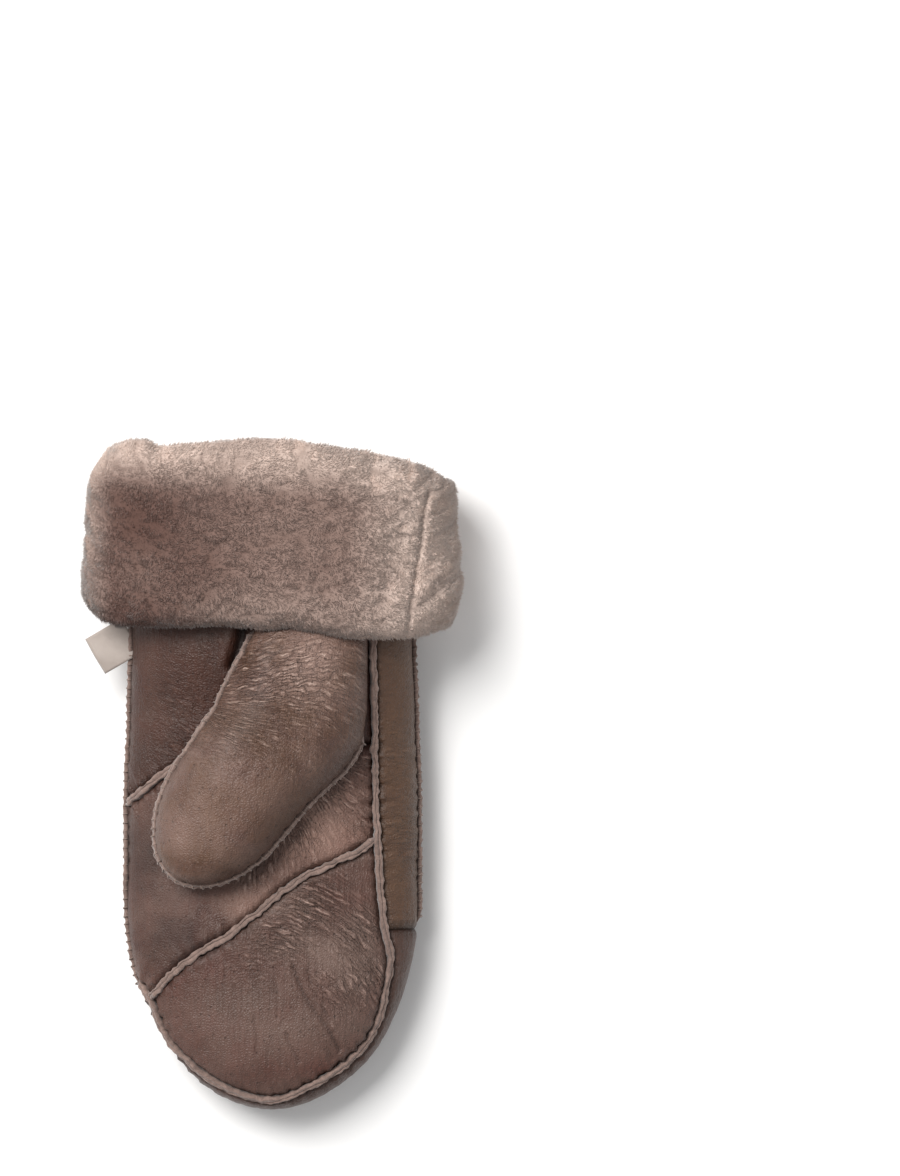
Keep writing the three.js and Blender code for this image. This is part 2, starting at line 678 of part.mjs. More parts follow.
const edges = edgeRows.map(({ name, seam, outline, clearOf }) => {
  const others = clearOf === thumbRoom ? edgeRoom : edgeRoom.subtract(thumbRoom);
  const made = sweep(seam, edgeOutline(outline)).subtract(clearOf).subtract(others);
  edgeRoom = edgeRoom.add(sweep(seam, edgeOutline(outline, seamGap), seamGap));
  return { name, made };
});

// The label, a ribbon folded over and held in the left side seam under the hem.
function labelSolid() {
  const s = handSection(hemY - labelInset);
  const r = labelThickness / 2;
  const outline = new THREE.Shape();
  outline.moveTo(0, 0);
  outline.lineTo(labelReach - r, 0);
  outline.absarc(labelReach - r, r, r, -Math.PI / 2, Math.PI / 2, false);
  outline.lineTo(0, labelThickness);
  const settings = { depth: labelWidth, bevelEnabled: false, curveSegments: 4 };
  const ribbon = new THREE.ExtrudeGeometry(outline, settings);
  ribbon.rotateX(Math.PI / 2).translate(0, labelWidth / 2, 0);
  ribbon.rotateY(THREE.MathUtils.degToRad(labelDroop));
  ribbon.rotateZ(THREE.MathUtils.degToRad(180 + labelTilt));
  ribbon.translate(-s.half, hemY - labelInset, s.seamZ);
  return solid(ribbon);
}

const cuff = cuffSolid().subtract(handRoom).subtract(edgeRoom);
const label = labelSolid().subtract(handRoom).subtract(edgeRoom);

// Materials
const paint = (color, roughness) => new THREE.MeshStandardMaterial({ color, roughness, metalness: 0 });
const leather = paint(leatherColour, 0.5);
const rawEdge = paint(edgeColour, 0.95);
const fleece = paint(fleeceColour, 1);
const satin = paint(labelColour, 0.4);

function mesh(name, made, material) {
  const { numProp, vertProperties, triVerts } = largest(made.simplify(smallestDetail)).getMesh();
  const points = new Float32Array((vertProperties.length / numProp) * 3);
  for (let i = 0; i < points.length / 3; i++)
    points.set(vertProperties.subarray(i * numProp, i * numProp + 3), i * 3);
  const geometry = new THREE.BufferGeometry();
  geometry.setAttribute("position", new THREE.BufferAttribute(points, 3));
  geometry.setIndex(new THREE.BufferAttribute(triVerts, 1));
  geometry.computeVertexNormals();
  const part = new THREE.Mesh(geometry, material);
  part.name = name;
  return part;
}

const mitten = new THREE.Group();
const thumbMiddle = thumbSection(1);
const atThumb = (low, high) => pieceAt(thumbPieces, thumbMiddle.centre.x, thumbMiddle.centre.y, low, high);
const thumbSplitZ = (thumbMiddle.leftZ + thumbMiddle.rightZ) / 2;
mitten.add(
  mesh("palm_heel_panel", onPalm(-0.6, 0.62), leather),
  mesh("palm_middle_panel", onPalm(-0.5, 0.36), leather),
  mesh("palm_finger_panel", onPalm(0.1, 0.2), leather),
  mesh("thumb_outer_panel", atThumb(thumbSplitZ + 1, thumbSplitZ + thumbHeight), leather),
  mesh("thumb_inner_panel", atThumb(thumbSplitZ - thumbHeight, thumbSplitZ - 1), leather),
  mesh("side_strip_palm", onPalm(0.86, 0.5), leather),
  mesh("side_strip_back", onBack(0.95, 0.45), leather),
  mesh("tip_strip", onPalm(0.96, 0.18), leather),
  mesh("back_panel_left", onBack(-0.5, 0.4), leather),
  mesh("back_panel_right", onBack(0.4, 0.4), leather),
  ...edges.map(({ name, made }) => mesh(name, made, rawEdge)),
  mesh("cuff", cuff, fleece),
  mesh("label", label, satin),
);

export default mitten;
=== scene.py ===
import math

import bmesh
import bpy
import numpy as np
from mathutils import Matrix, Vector
from mathutils.kdtree import KDTree


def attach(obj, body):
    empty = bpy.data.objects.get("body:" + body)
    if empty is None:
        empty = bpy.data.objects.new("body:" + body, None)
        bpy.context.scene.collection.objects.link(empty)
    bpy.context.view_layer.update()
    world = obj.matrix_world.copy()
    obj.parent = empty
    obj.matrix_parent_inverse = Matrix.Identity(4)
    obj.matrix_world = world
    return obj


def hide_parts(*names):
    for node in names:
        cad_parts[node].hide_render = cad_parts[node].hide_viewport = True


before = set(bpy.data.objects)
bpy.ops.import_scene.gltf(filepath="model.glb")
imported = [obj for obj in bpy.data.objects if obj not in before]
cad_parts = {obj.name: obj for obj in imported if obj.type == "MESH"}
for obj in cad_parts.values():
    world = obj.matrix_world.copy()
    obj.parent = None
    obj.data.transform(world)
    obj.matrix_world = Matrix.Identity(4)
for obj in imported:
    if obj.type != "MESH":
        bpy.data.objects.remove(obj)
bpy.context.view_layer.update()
print("frame loaded")

# A sheepskin mitten lying palm up. The shape is worked out in millimetres and made metres in addPiece.
mm = 0.001
rng = np.random.default_rng(41)

hand = dict(
    length=270, width=117, thickness=38, tipLength=85, hide=7, wristEnd=112, tipStart=-50, lowest=-135,
    seamShare=0.44, palmRoundness=2.3, backRoundness=2.6, backSag=2.5, cuffPile=9, joint=-62.3,
    palmColumns=180, backColumns=88, straightRows=164, tipRows=84, leather=1.2,
)
# along the hand from the round tip to the wrist: share of length, width, thickness, lift of the back
handRows = np.array([
    (0, 1, 1, 0), (0.25, 1, 1, 0), (0.45, 0.98, 1.02, 0.12), (0.65, 0.96, 1.04, 0.75),
    (0.78, 0.975, 1.05, 1), (1, 1.03, 1.05, 1),
])


def mix(a, b, t):
    return a + (b - a) * t


def smooth(t):
    t = np.clip(t, 0, 1)
    return t * t * (3 - 2 * t)


def dome(u, roundness):
    return np.maximum(0, 1 - np.minimum(1, np.abs(u)) ** roundness) ** (1 / roundness)


def readRows(rows, place, column):
    place = np.asarray(place, float)
    i = np.clip(np.searchsorted(rows[:, 0], place, side="left") - 1, 0, len(rows) - 2)
    t = smooth((place - rows[i, 0]) / (rows[i + 1, 0] - rows[i, 0]))
    return mix(rows[i, column], rows[i + 1, column], t)


# smooth noise from 0 to 1 with one bump per unit
def softNoise(x, y, seed):
    size = 128
    table = np.random.default_rng(seed).random((size, size))
    i, j = np.floor(x).astype(int), np.floor(y).astype(int)
    s, t = smooth(x - i), smooth(y - j)
    i, nextI = i % size, (i + 1) % size
    low, high = (mix(table[i, (j + k) % size], table[nextI, (j + k) % size], s) for k in (0, 1))
    return mix(low, high, t)


# thin raised lines from 0 to 1
def ridges(x, y, seed):
    value = 0.65 * softNoise(x, y, seed) + 0.35 * softNoise(2.1 * x + 7, 2.1 * y + 3, seed + 1)
    return np.clip(1 - np.abs(2 * value - 1) * 3.2, 0, 1)


def handSection(y, inset=0.0):
    y = np.asarray(y, float)
    along = np.clip((y - hand["tipStart"]) / (hand["wristEnd"] - hand["tipStart"]), 0, 1)
    t = np.clip((hand["tipStart"] - y) / (hand["tipLength"] - inset), 0, 1)
    thickness = hand["thickness"] * readRows(handRows, along, 2)
    floor = hand["cuffPile"] * readRows(handRows, along, 3)
    height = (1 - t**3) ** (1 / 3)
    share = hand["seamShare"]
    return dict(
        half=(hand["width"] * readRows(handRows, along, 1) / 2 - inset) * np.sqrt(1 - t * t),
        seamZ=floor + share * thickness,
        rise=((1 - share) * thickness - inset) * height,
        drop=(share * thickness - inset + (0 if inset > 0 else hand["backSag"])) * height,
        floor=floor + inset,
    )


def palmZ(x, y, inset=0.0):
    s = handSection(y, inset)
    return s["seamZ"] + s["rise"] * dome(x / np.maximum(s["half"], 1e-6), hand["palmRoundness"])


def backZ(x, y, inset=0.0):
    s = handSection(y, inset)
    low = s["seamZ"] - s["drop"] * dome(x / np.maximum(s["half"], 1e-6), hand["backRoundness"])
    return np.maximum(s["floor"], low)


thumb = dict(
    width=50, height=27, run=68, sweep=31.5, angle=36, tipLength=40, rootY=60, clearance=1,
    columns=110, bodyRows=104, tipRows=62, seamEnd=0.45,
    rootShare=0.722, rootGap=2.4, bodyFlow=72, tipFlow=40, underWall=0.9,
)
# from the cuff to the round end: x, y, width, turn, left, right, crown, under, free
thumbRows = np.array([
    (0.0, 0.0, 0.88, 0.0, 0.08, 0.06, 0.3, 0.75, 0), (0.084, 0.206, 0.994, 0.15, 0.08, 0.06, 0.5, 1.0, 0),
    (0.2, 0.426, 1.14, 0.26, 0.08, 0.06, 0.68, 1.05, 0), (0.28, 0.58, 1.19, 0.4, 0.15, 0.1, 0.74, 1.0, 0),
    (0.43, 0.69, 1.13, 0.66, 0.24, 0.22, 0.66, 0.65, 0.5), (0.68, 0.805, 1.04, 1.0, 0.33, 0.33, 0.57, 0.42, 1),
    (1.0, 1.0, 1.0, 1.0, 0.36, 0.36, 0.56, 0.42, 1),
])


def thumbSection(place, inset=0.0):
    place = np.asarray(place, float)
    at = np.clip(place, 0, 1) * (len(thumbRows) - 1)
    i = np.minimum(np.floor(at).astype(int), len(thumbRows) - 2)
    row = mix(thumbRows[i], thumbRows[i + 1], (at - i)[..., None])
    x, y, width, turn, left, right, crown, under, free = np.moveaxis(row, -1, 0)
    tip = np.clip(place - 1, 0, 1)
    turn = np.radians(thumb["angle"] * turn)
    rootHalf = thumbRows[0, 2] * thumb["width"] / 2
    seamX = thumb["rootShare"] * handSection(thumb["rootY"])["half"] - thumb["rootGap"]
    advance = (thumb["tipLength"] - inset) * np.sin(math.pi / 2 * tip)
    cx = seamX - rootHalf - thumb["sweep"] * x - advance * np.sin(turn)
    cy = thumb["rootY"] - thumb["run"] * y - advance * np.cos(turn)
    narrowing = np.cos(math.pi / 2 * tip)
    edge = width * thumb["width"] * narrowing / 2
    flattening = np.maximum(0, 1 - np.sin(math.pi / 2 * tip) ** 3) ** (1 / 3)
    dx, dy = np.cos(turn), -np.sin(turn)
    return dict(
        cx=cx, cy=cy, dx=dx, dy=dy, half=(width * thumb["width"] / 2 - inset) * narrowing,
        leftZ=palmZ(cx - dx * edge, cy - dy * edge) + left * thumb["height"],
        rightZ=palmZ(cx + dx * edge, cy + dy * edge) + right * thumb["height"],
        crown=(crown * thumb["height"] - inset) * flattening,
        under=(under * thumb["height"] - inset) * flattening, free=free,
    )


# x and y of a side of the thumb, drawn in by inset
def thumbSide(s, side, inset=0.0):
    reach = side * (s["half"] - inset)
    return s["cx"] + s["dx"] * reach, s["cy"] + s["dy"] * reach


# the thumb in plan between two places along it, drawn in by inset
def thumbOutline(first, last, count, inset):
    s = thumbSection(np.linspace(first, last, count))
    left, right = (np.stack(thumbSide(s, side, inset), -1) for side in (-1, 1))
    return np.vstack([left, right[::-1]])


def thumbPoint(place, v, upper, inset=0.0):
    s = thumbSection(place, inset)
    x, y = s["cx"] + s["dx"] * v * s["half"], s["cy"] + s["dy"] * v * s["half"]
    middleZ = mix(s["leftZ"], s["rightZ"], (v + 1) / 2)
    if upper:
        return np.stack([x, y, middleZ + s["crown"] * dome(v, hand["palmRoundness"])], -1)
    rest = palmZ(x, y) + thumb["clearance"] + inset
    low = middleZ - s["under"] * dome(v, hand["palmRoundness"])
    return np.stack([x, y, np.minimum(middleZ, mix(low, np.maximum(low, rest), s["free"]))], -1)


# a centripetal curve through the points, then evenly spaced points on it
def throughPoints(points, spacing):
    p = np.vstack([2 * points[0] - points[1], points, 2 * points[-1] - points[-2]])
    line = []
    for p0, p1, p2, p3 in zip(p, p[1:], p[2:], p[3:]):
        a, b, c = (max(1e-4, np.linalg.norm(d)) ** 0.5 for d in (p1 - p0, p2 - p1, p3 - p2))
        m1 = ((p1 - p0) / a - (p2 - p0) / (a + b) + (p2 - p1) / b) * b
        m2 = ((p2 - p1) / b - (p3 - p1) / (b + c) + (p3 - p2) / c) * b
        t = np.linspace(0, 1, 40, endpoint=False)[:, None]
        line.append((2 * t**3 - 3 * t**2 + 1) * p1 + (t**3 - 2 * t**2 + t) * m1
                    + (3 * t**2 - 2 * t**3) * p2 + (t**3 - t**2) * m2)
    return evenly(np.vstack(line + [points[-1:]]), spacing)


def evenly(line, spacing):
    lengths = np.concatenate([[0], np.cumsum(np.linalg.norm(np.diff(line[:, :3], axis=0), axis=1))])
    count = max(2, int(round(lengths[-1] / spacing)) + 1)
    at = np.linspace(0, lengths[-1], count)
    return np.stack([np.interp(at, lengths, line[:, k]) for k in range(line.shape[1])], -1)


def planLine(rows):
    rows = np.array(rows)
    y = hand["lowest"] + rows[:, 1] * hand["length"]
    return throughPoints(np.stack([rows[:, 0] * handSection(y)["half"], y], -1), 0.5)


# points of a seam on the palm or back and the way out of the leather at each
def liftedSeam(rows, heightAt, facing, toTip=0.0, spacing=0.5):
    plan = planLine(rows)
    plan = plan[plan[:, 1] > hand["lowest"] + 1.2]
    half = handSection(plan[:, 1])["half"]
    x, y = np.clip(plan[:, 0], -half, half), plan[:, 1]
    points = np.stack([x, y, heightAt(x, y)], -1)
    inner = np.clip(x, -0.985 * half, 0.985 * half)
    step = 0.005 * half
    slopeX = (heightAt(inner + step, y) - heightAt(inner - step, y)) / (2 * step)
    innerY = 0.97 * inner
    slopeY = np.clip((heightAt(innerY, y + step) - heightAt(innerY, y - step)) / (2 * step), -6, 6)
    out = unit(facing * np.stack([-slopeX, -slopeY, np.ones(len(x))], -1))
    if toTip:
        s, far = handSection(hand["lowest"] + 2), np.array([0.5, 1.0])
        z = mix(points[-1, 2], float(s["seamZ"]), toTip * far)
        below = (s["seamZ"] - z) / (hand["seamShare"] * hand["thickness"] + hand["backSag"])
        y = hand["tipStart"] - hand["tipLength"] * (1 - below**3) ** (1 / 3)
        points = np.vstack([points, np.stack([x[-1] * (1 - far), y, z], -1)])
        out = np.vstack([out, [(0, -1, -0.3), (0, -1, -0.2)]])
    ahead = np.clip(np.arange(len(out))[:, None] + np.arange(-7, 8), 0, len(out) - 1)
    both = evenly(np.hstack([points, out[ahead].mean(1)]), spacing)
    return both[:, :3], unit(both[:, 3:])


def edgeSeam(side, lastY, spacing=0.5):
    y = np.concatenate([np.linspace(hand["wristEnd"], hand["tipStart"], 100),
                        hand["tipStart"] - hand["tipLength"] * np.sin(np.linspace(0.01, 0.999, 160) * math.pi / 2)])
    y = y[y > lastY]
    s = handSection(y)
    points = evenly(np.stack([side * s["half"], y, s["seamZ"]], -1), spacing)
    along = np.gradient(points, axis=0)
    return points, unit(np.stack([-side * along[:, 1], side * along[:, 0], 0 * along[:, 0]], -1))


def thumbSeam(spacing=0.5):
    down = np.linspace(0, 2, 260)
    up = np.linspace(2, thumb["seamEnd"], 220)
    sides = []
    for place, side, key in ((down, -1, "leftZ"), (up, 1, "rightZ")):
        s = thumbSection(place)
        sides.append(np.stack([*thumbSide(s, side), s[key]], -1))
    points = evenly(np.vstack(sides), spacing)
    along = unit(np.gradient(points, axis=0))
    return points, unit(np.stack([along[:, 1], -along[:, 0], 0.55 + 0 * along[:, 0]], -1))


def unit(v):
    return v / np.maximum(1e-9, np.linalg.norm(v, axis=-1, keepdims=True))


# seams: share of the half width, share of the length from the tip
palmSeamRows = [
    (0.7, 0.93), (0.722, 0.7), (0.72, 0.56), (0.718, 0.45), (0.74, 0.342), (0.784, 0.27), (0.843, 0.23),
    (0.87, 0.18), (0.888, 0.13), (0.87, 0.095), (0.78, 0.066), (0.6, 0.04), (0.3, 0.022), (-0.15, 0.017),
    (-0.6, 0.028), (-0.82, 0.05), (-0.93, 0.08), (-0.968, 0.115), (-0.96, 0.16), (-1.0, 0.19),
]
diagonalRows = [(-0.965, 0.168), (-0.6, 0.225), (-0.28, 0.265), (0.2, 0.348), (0.5, 0.376), (0.724, 0.405)]
crossRows = [(-1.0, 0.458), (-0.62, 0.516), (-0.2, 0.545), (0.3, 0.548), (0.72, 0.545)]
backCentreRows = [
    (-0.02, 0.93), (-0.035, 0.7), (-0.105, 0.54), (-0.12, 0.4), (-0.115, 0.25), (-0.135, 0.15),
    (-0.12, 0.06), (0.0, 0.0),
]
backSideRows = [
    (0.93, 0.93), (0.935, 0.69), (0.86, 0.516), (0.825, 0.42), (0.82, 0.29), (0.81, 0.245), (0.85, 0.147),
    (0.87, 0.1), (0.85, 0.055), (0.72, 0.018), (0.0, 0.0),
]
seams = dict(
    palm=liftedSeam(palmSeamRows, palmZ, 1), diagonal=liftedSeam(diagonalRows, palmZ, 1),
    cross=liftedSeam(crossRows, palmZ, 1), backCentre=liftedSeam(backCentreRows, backZ, -1, toTip=0.9),
    backSide=liftedSeam(backSideRows, backZ, -1, toTip=0.25), left=edgeSeam(-1, hand["lowest"]),
    right=edgeSeam(1, hand["joint"]), thumb=thumbSeam(),
)


# across the side strips, over the edge of the hand from the palm seam to the back seam
def jointLine():
    y = hand["joint"]
    half = float(handSection(y)["half"])
    palmX, backX = crossing("palm", y), crossing("backSide", y)
    top = np.stack([half * np.cos(np.linspace(math.acos(palmX / half), 0, 40)), np.full(40, y)], -1)
    low = np.stack([half * np.cos(np.linspace(0, math.acos(backX / half), 40)), np.full(40, y)], -1)
    line = np.vstack([np.hstack([top, palmZ(top[:, 0], top[:, 1])[:, None]]),
                      np.hstack([low, backZ(low[:, 0], low[:, 1])[:, None]])])
    line = evenly(line, 0.5)
    return line, unit(line - [0.6 * half, y, float(handSection(y)["seamZ"])])


# where a seam first comes down to y
def crossing(name, y):
    points = seams[name][0]
    i = int(np.argmax(points[:, 1] < y))
    return float(points[i, 0])


seams["joint"] = jointLine()
print("seams laid out:", {name: len(line[0]) for name, line in seams.items()})


def layGrid(columns, rows, size=0.5):
    bm = bmesh.new()
    bmesh.ops.create_grid(bm, x_segments=columns, y_segments=rows, size=size)
    return bm


# column and row of each grid vertex, as shares from 0 to 1, in create_grid's order
def gridPlaces(columns, rows):
    k = np.arange((columns + 1) * (rows + 1))
    return (k % (columns + 1)) / columns, (k // (columns + 1)) / rows


def toMesh(bm, name):
    mesh = bpy.data.meshes.new(name)
    bm.to_mesh(mesh)
    bm.free()
    return mesh


def getPoints(mesh):
    co = np.empty(len(mesh.vertices) * 3)
    mesh.vertices.foreach_get("co", co)
    return co.reshape(-1, 3)


def setPoints(mesh, points):
    mesh.vertices.foreach_set("co", np.ascontiguousarray(points, np.float32).ravel())
    mesh.update()


def getNormals(mesh):
    normal = np.empty(len(mesh.vertices) * 3, np.float32)
    mesh.vertex_normals.foreach_get("vector", normal)
    return normal.reshape(-1, 3).astype(float)


# a mesh opened for editing, without the faces in away
def openMesh(mesh, away=()):
    bm = bmesh.new()
    bm.from_mesh(mesh)
    if len(away):
        bm.faces.ensure_lookup_table()
        bmesh.ops.delete(bm, geom=[bm.faces[i] for i in away], context="FACES")
    return bm


def closeMesh(bm, mesh, outward=False):
    if outward:
        bmesh.ops.recalc_face_normals(bm, faces=bm.faces)
    bm.to_mesh(mesh)
    bm.free()
    mesh.update()
    return mesh


def mergeClose(mesh, distance, outward=False):
    bm = openMesh(mesh)
    bmesh.ops.remove_doubles(bm, verts=bm.verts, dist=distance)
    bmesh.ops.dissolve_degenerate(bm, edges=bm.edges, dist=distance / 4)
    return closeMesh(bm, mesh, outward)


# joins the long sides of bars or tubes and fills their ends
def fillEnds(bm):
    bmesh.ops.remove_doubles(bm, verts=bm.verts, dist=0.01)
    bmesh.ops.holes_fill(bm, edges=[e for e in bm.edges if e.is_boundary], sides=0)
    return bm


def setShade(mesh, name, values):
    layer = mesh.attributes.get(name) or mesh.attributes.new(name, "FLOAT", "POINT")
    layer.data.foreach_set("value", np.ascontiguousarray(values, np.float32))


def readShade(mesh, name):
    return np.array([d.value for d in mesh.attributes[name].data])


# a UV map in millimetres that follows the crinkles
def setFlow(mesh, places):
    layer = mesh.uv_layers.get("flow") or mesh.uv_layers.new(name="flow")
    corners = np.empty(len(mesh.loops), np.int32)
    mesh.loops.foreach_get("vertex_index", corners)
    layer.data.foreach_set("uv", np.ascontiguousarray(places[corners], np.float32).ravel())


# the finished piece: metres, closed wall, smooth faces, and what it stands for
def addPiece(name, mesh, material, nodes, wall=0.0, offset=-1.0):
    points = getPoints(mesh)
    points[:, 2] = np.maximum(points[:, 2], 0.02)
    setPoints(mesh, points * mm)
    piece = bpy.data.objects.new(name, mesh)
    bpy.context.scene.collection.objects.link(piece)
    mesh.materials.clear()
    mesh.materials.append(material)
    mesh.polygons.foreach_set("use_smooth", np.ones(len(mesh.polygons), bool))
    if wall:
        solidify = piece.modifiers.new("wall", "SOLIDIFY")
        solidify.thickness = wall * mm
        solidify.offset = offset
    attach(piece, "root")
    if nodes:
        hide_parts(*nodes)
    return piece


# a shader group; an input without a value is a vector
def newGroup(name, inputs, outputs):
    tree = bpy.data.node_groups.new(name, "ShaderNodeTree")
    for label, value in inputs.items():
        kind = "NodeSocketVector" if value is None else "NodeSocketFloat"
        socket = tree.interface.new_socket(label, in_out="INPUT", socket_type=kind)
        if value is not None:
            socket.default_value = value
    for label in outputs:
        tree.interface.new_socket(label, in_out="OUTPUT", socket_type="NodeSocketFloat")
    return tree, tree.nodes.new("NodeGroupInput"), tree.nodes.new("NodeGroupOutput")


# links a socket or sets its value
def feed(tree, socket, value):
    if isinstance(value, bpy.types.NodeSocket):
        tree.links.new(value, socket)
    else:
        socket.default_value = value


# a node with its settings, and its sockets set or linked
def addNode(tree, kind, settings=None, **values):
    made = tree.nodes.new(kind)
    for key, value in (settings or {}).items():
        setattr(made, key, value)
    for key, value in values.items():
        numbered = key[0] == "i" and key[1:].isdigit()
        feed(tree, made.inputs[int(key[1:]) if numbered else key.replace("_", " ")], value)
    return made


def calc(tree, operation, a, b):
    return addNode(tree, "ShaderNodeMath", dict(operation=operation), i0=a, i1=b).outputs[0]


def times(tree, a, b):
    return calc(tree, "MULTIPLY", a, b)


def plus(tree, a, b):
    return calc(tree, "ADD", a, b)


def objectPlace(tree):
    return addNode(tree, "ShaderNodeTexCoord").outputs["Object"]


def voronoi(tree, feature, vector, scale):
    made = addNode(tree, "ShaderNodeTexVoronoi", dict(feature=feature), Vector=vector, Scale=scale)
    return made.outputs["Distance"]


def between(tree, value, low, high, toLow=0.0, toHigh=1.0):
    return addNode(tree, "ShaderNodeMapRange", dict(clamp=True), Value=value, From_Min=low, From_Max=high,
                   To_Min=toLow, To_Max=toHigh).outputs[0]


def noiseAt(tree, vector, scale, detail=2.0, roughness=0.5, distortion=0.0):
    return addNode(tree, "ShaderNodeTexNoise", dict(noise_dimensions="3D"), Vector=vector, Scale=scale,
                   Detail=detail, Roughness=roughness, Distortion=distortion).outputs["Fac"]


def blendColour(tree, mask, a, b):
    made = addNode(tree, "ShaderNodeMix", dict(data_type="RGBA", clamp_factor=True))
    for number, value in ((0, mask), (6, a), (7, b)):
        feed(tree, made.inputs[number], value)
    return made.outputs[2]


# pebbled skin: fine cells, pores and slow swells, with sizes in bumps per metre
def makeHideGrain():
    tree, given, result = newGroup(
        "hideGrain", dict(Vector=None, Cells=900.0, Swell=130.0), ["Height", "Mottle", "Pores"])
    vector, cells, swell = (given.outputs[k] for k in ("Vector", "Cells", "Swell"))
    pebble = between(tree, voronoi(tree, "DISTANCE_TO_EDGE", vector, cells), 0.0, 0.35)
    fine = noiseAt(tree, vector, times(tree, cells, 1.7), 3.0, 0.6)
    slow = noiseAt(tree, vector, swell, 3.0, 0.55, 0.3)
    pores = between(tree, voronoi(tree, "F1", vector, times(tree, cells, 0.33)), 0.06, 0.2, 1.0, 0.0)
    height = plus(tree, times(tree, pebble, 0.35), times(tree, fine, 0.55))
    height = plus(tree, height, times(tree, slow, 1.3))
    height = calc(tree, "SUBTRACT", height, times(tree, pores, 0.4))
    mottle = noiseAt(tree, vector, times(tree, swell, 0.42), 5.0, 0.62, 0.4)
    tree.links.new(height, result.inputs["Height"])
    tree.links.new(between(tree, mottle, 0.32, 0.68), result.inputs["Mottle"])
    tree.links.new(pores, result.inputs["Pores"])
    return tree


# long narrow pillows of leather with thin folds between them, laid along the flow map
def makeCrinkle():
    tree, given, result = newGroup("crinkle", dict(Flow=None, Spacing=2.2, Length=8.0), ["Height", "Crest", "Fold"])
    flow, spacing, length = (given.outputs[k] for k in ("Flow", "Spacing", "Length"))
    bend = addNode(tree, "ShaderNodeTexNoise", dict(noise_dimensions="3D"), Vector=flow, Scale=0.22, Detail=2.0)
    bent = addNode(tree, "ShaderNodeVectorMath", dict(operation="MULTIPLY_ADD"), i0=bend.outputs["Color"],
                   i1=(3.4, 3.4, 0.0), i2=flow)
    parts = addNode(tree, "ShaderNodeSeparateXYZ", Vector=bent.outputs[0])
    pillows = []
    for scale, push in ((1.0, 0.0), (0.48, 31.0)):
        place = addNode(
            tree, "ShaderNodeCombineXYZ",
            X=calc(tree, "DIVIDE", parts.outputs[0], times(tree, length, scale)),
            Y=calc(tree, "DIVIDE", plus(tree, parts.outputs[1], push), times(tree, spacing, scale)),
            Z=push,
        ).outputs[0]
        edge = voronoi(tree, "DISTANCE_TO_EDGE", place, 1.0)
        pillows.append(calc(tree, "POWER", between(tree, edge, 0.0, 0.36), 0.6))
    height = plus(tree, times(tree, pillows[0], 0.7), times(tree, pillows[1], 0.3))
    tree.links.new(height, result.inputs["Height"])
    tree.links.new(between(tree, height, 0.66, 0.97), result.inputs["Crest"])
    tree.links.new(between(tree, height, 0.15, 0.6, 1.0, 0.0), result.inputs["Fold"])
    return tree


# short matted fibre: clumps with fine strands in them
def makeFibres():
    tree, given, result = newGroup("fibres", dict(Vector=None, Clumps=330.0, Strands=1500.0), ["Height", "Tone"])
    vector, clumps, strands = (given.outputs[k] for k in ("Vector", "Clumps", "Strands"))
    clump = noiseAt(tree, vector, clumps, 3.0, 0.6, 0.8)
    strand = noiseAt(tree, vector, strands, 2.0, 0.6, 0.5)
    height = plus(tree, clump, times(tree, strand, 0.5))
    tree.links.new(height, result.inputs["Height"])
    tone = plus(tree, times(tree, clump, 0.6), times(tree, strand, 0.4))
    tree.links.new(between(tree, tone, 0.3, 0.7), result.inputs["Tone"])
    return tree


hideGrain, crinkle, fibres = makeHideGrain(), makeCrinkle(), makeFibres()


# a paint colour given the way a colour picker shows it, 0 to 255
def colour(red, green, blue):
    line = [c / 255 for c in (red, green, blue)]
    return (*(c / 12.92 if c <= 0.04045 else ((c + 0.055) / 1.055) ** 2.4 for c in line), 1.0)


def startMaterial(name):
    material = bpy.data.materials.new(name)
    material.use_nodes = True
    tree = material.node_tree
    return material, tree, tree.nodes["Principled BSDF"]


def attribute(tree, name):
    return addNode(tree, "ShaderNodeAttribute", dict(attribute_name=name, attribute_type="GEOMETRY")).outputs["Fac"]


# paint, bump and fixed values of a surface
def finishSurface(tree, shader, tint, height, strength, distance, **values):
    tree.links.new(tint, shader.inputs["Base Color"])
    bump = addNode(tree, "ShaderNodeBump", Strength=strength, Distance=distance, Height=height)
    tree.links.new(bump.outputs[0], shader.inputs["Normal"])
    for label, value in values.items():
        shader.inputs[label.replace("_", " ")].default_value = value


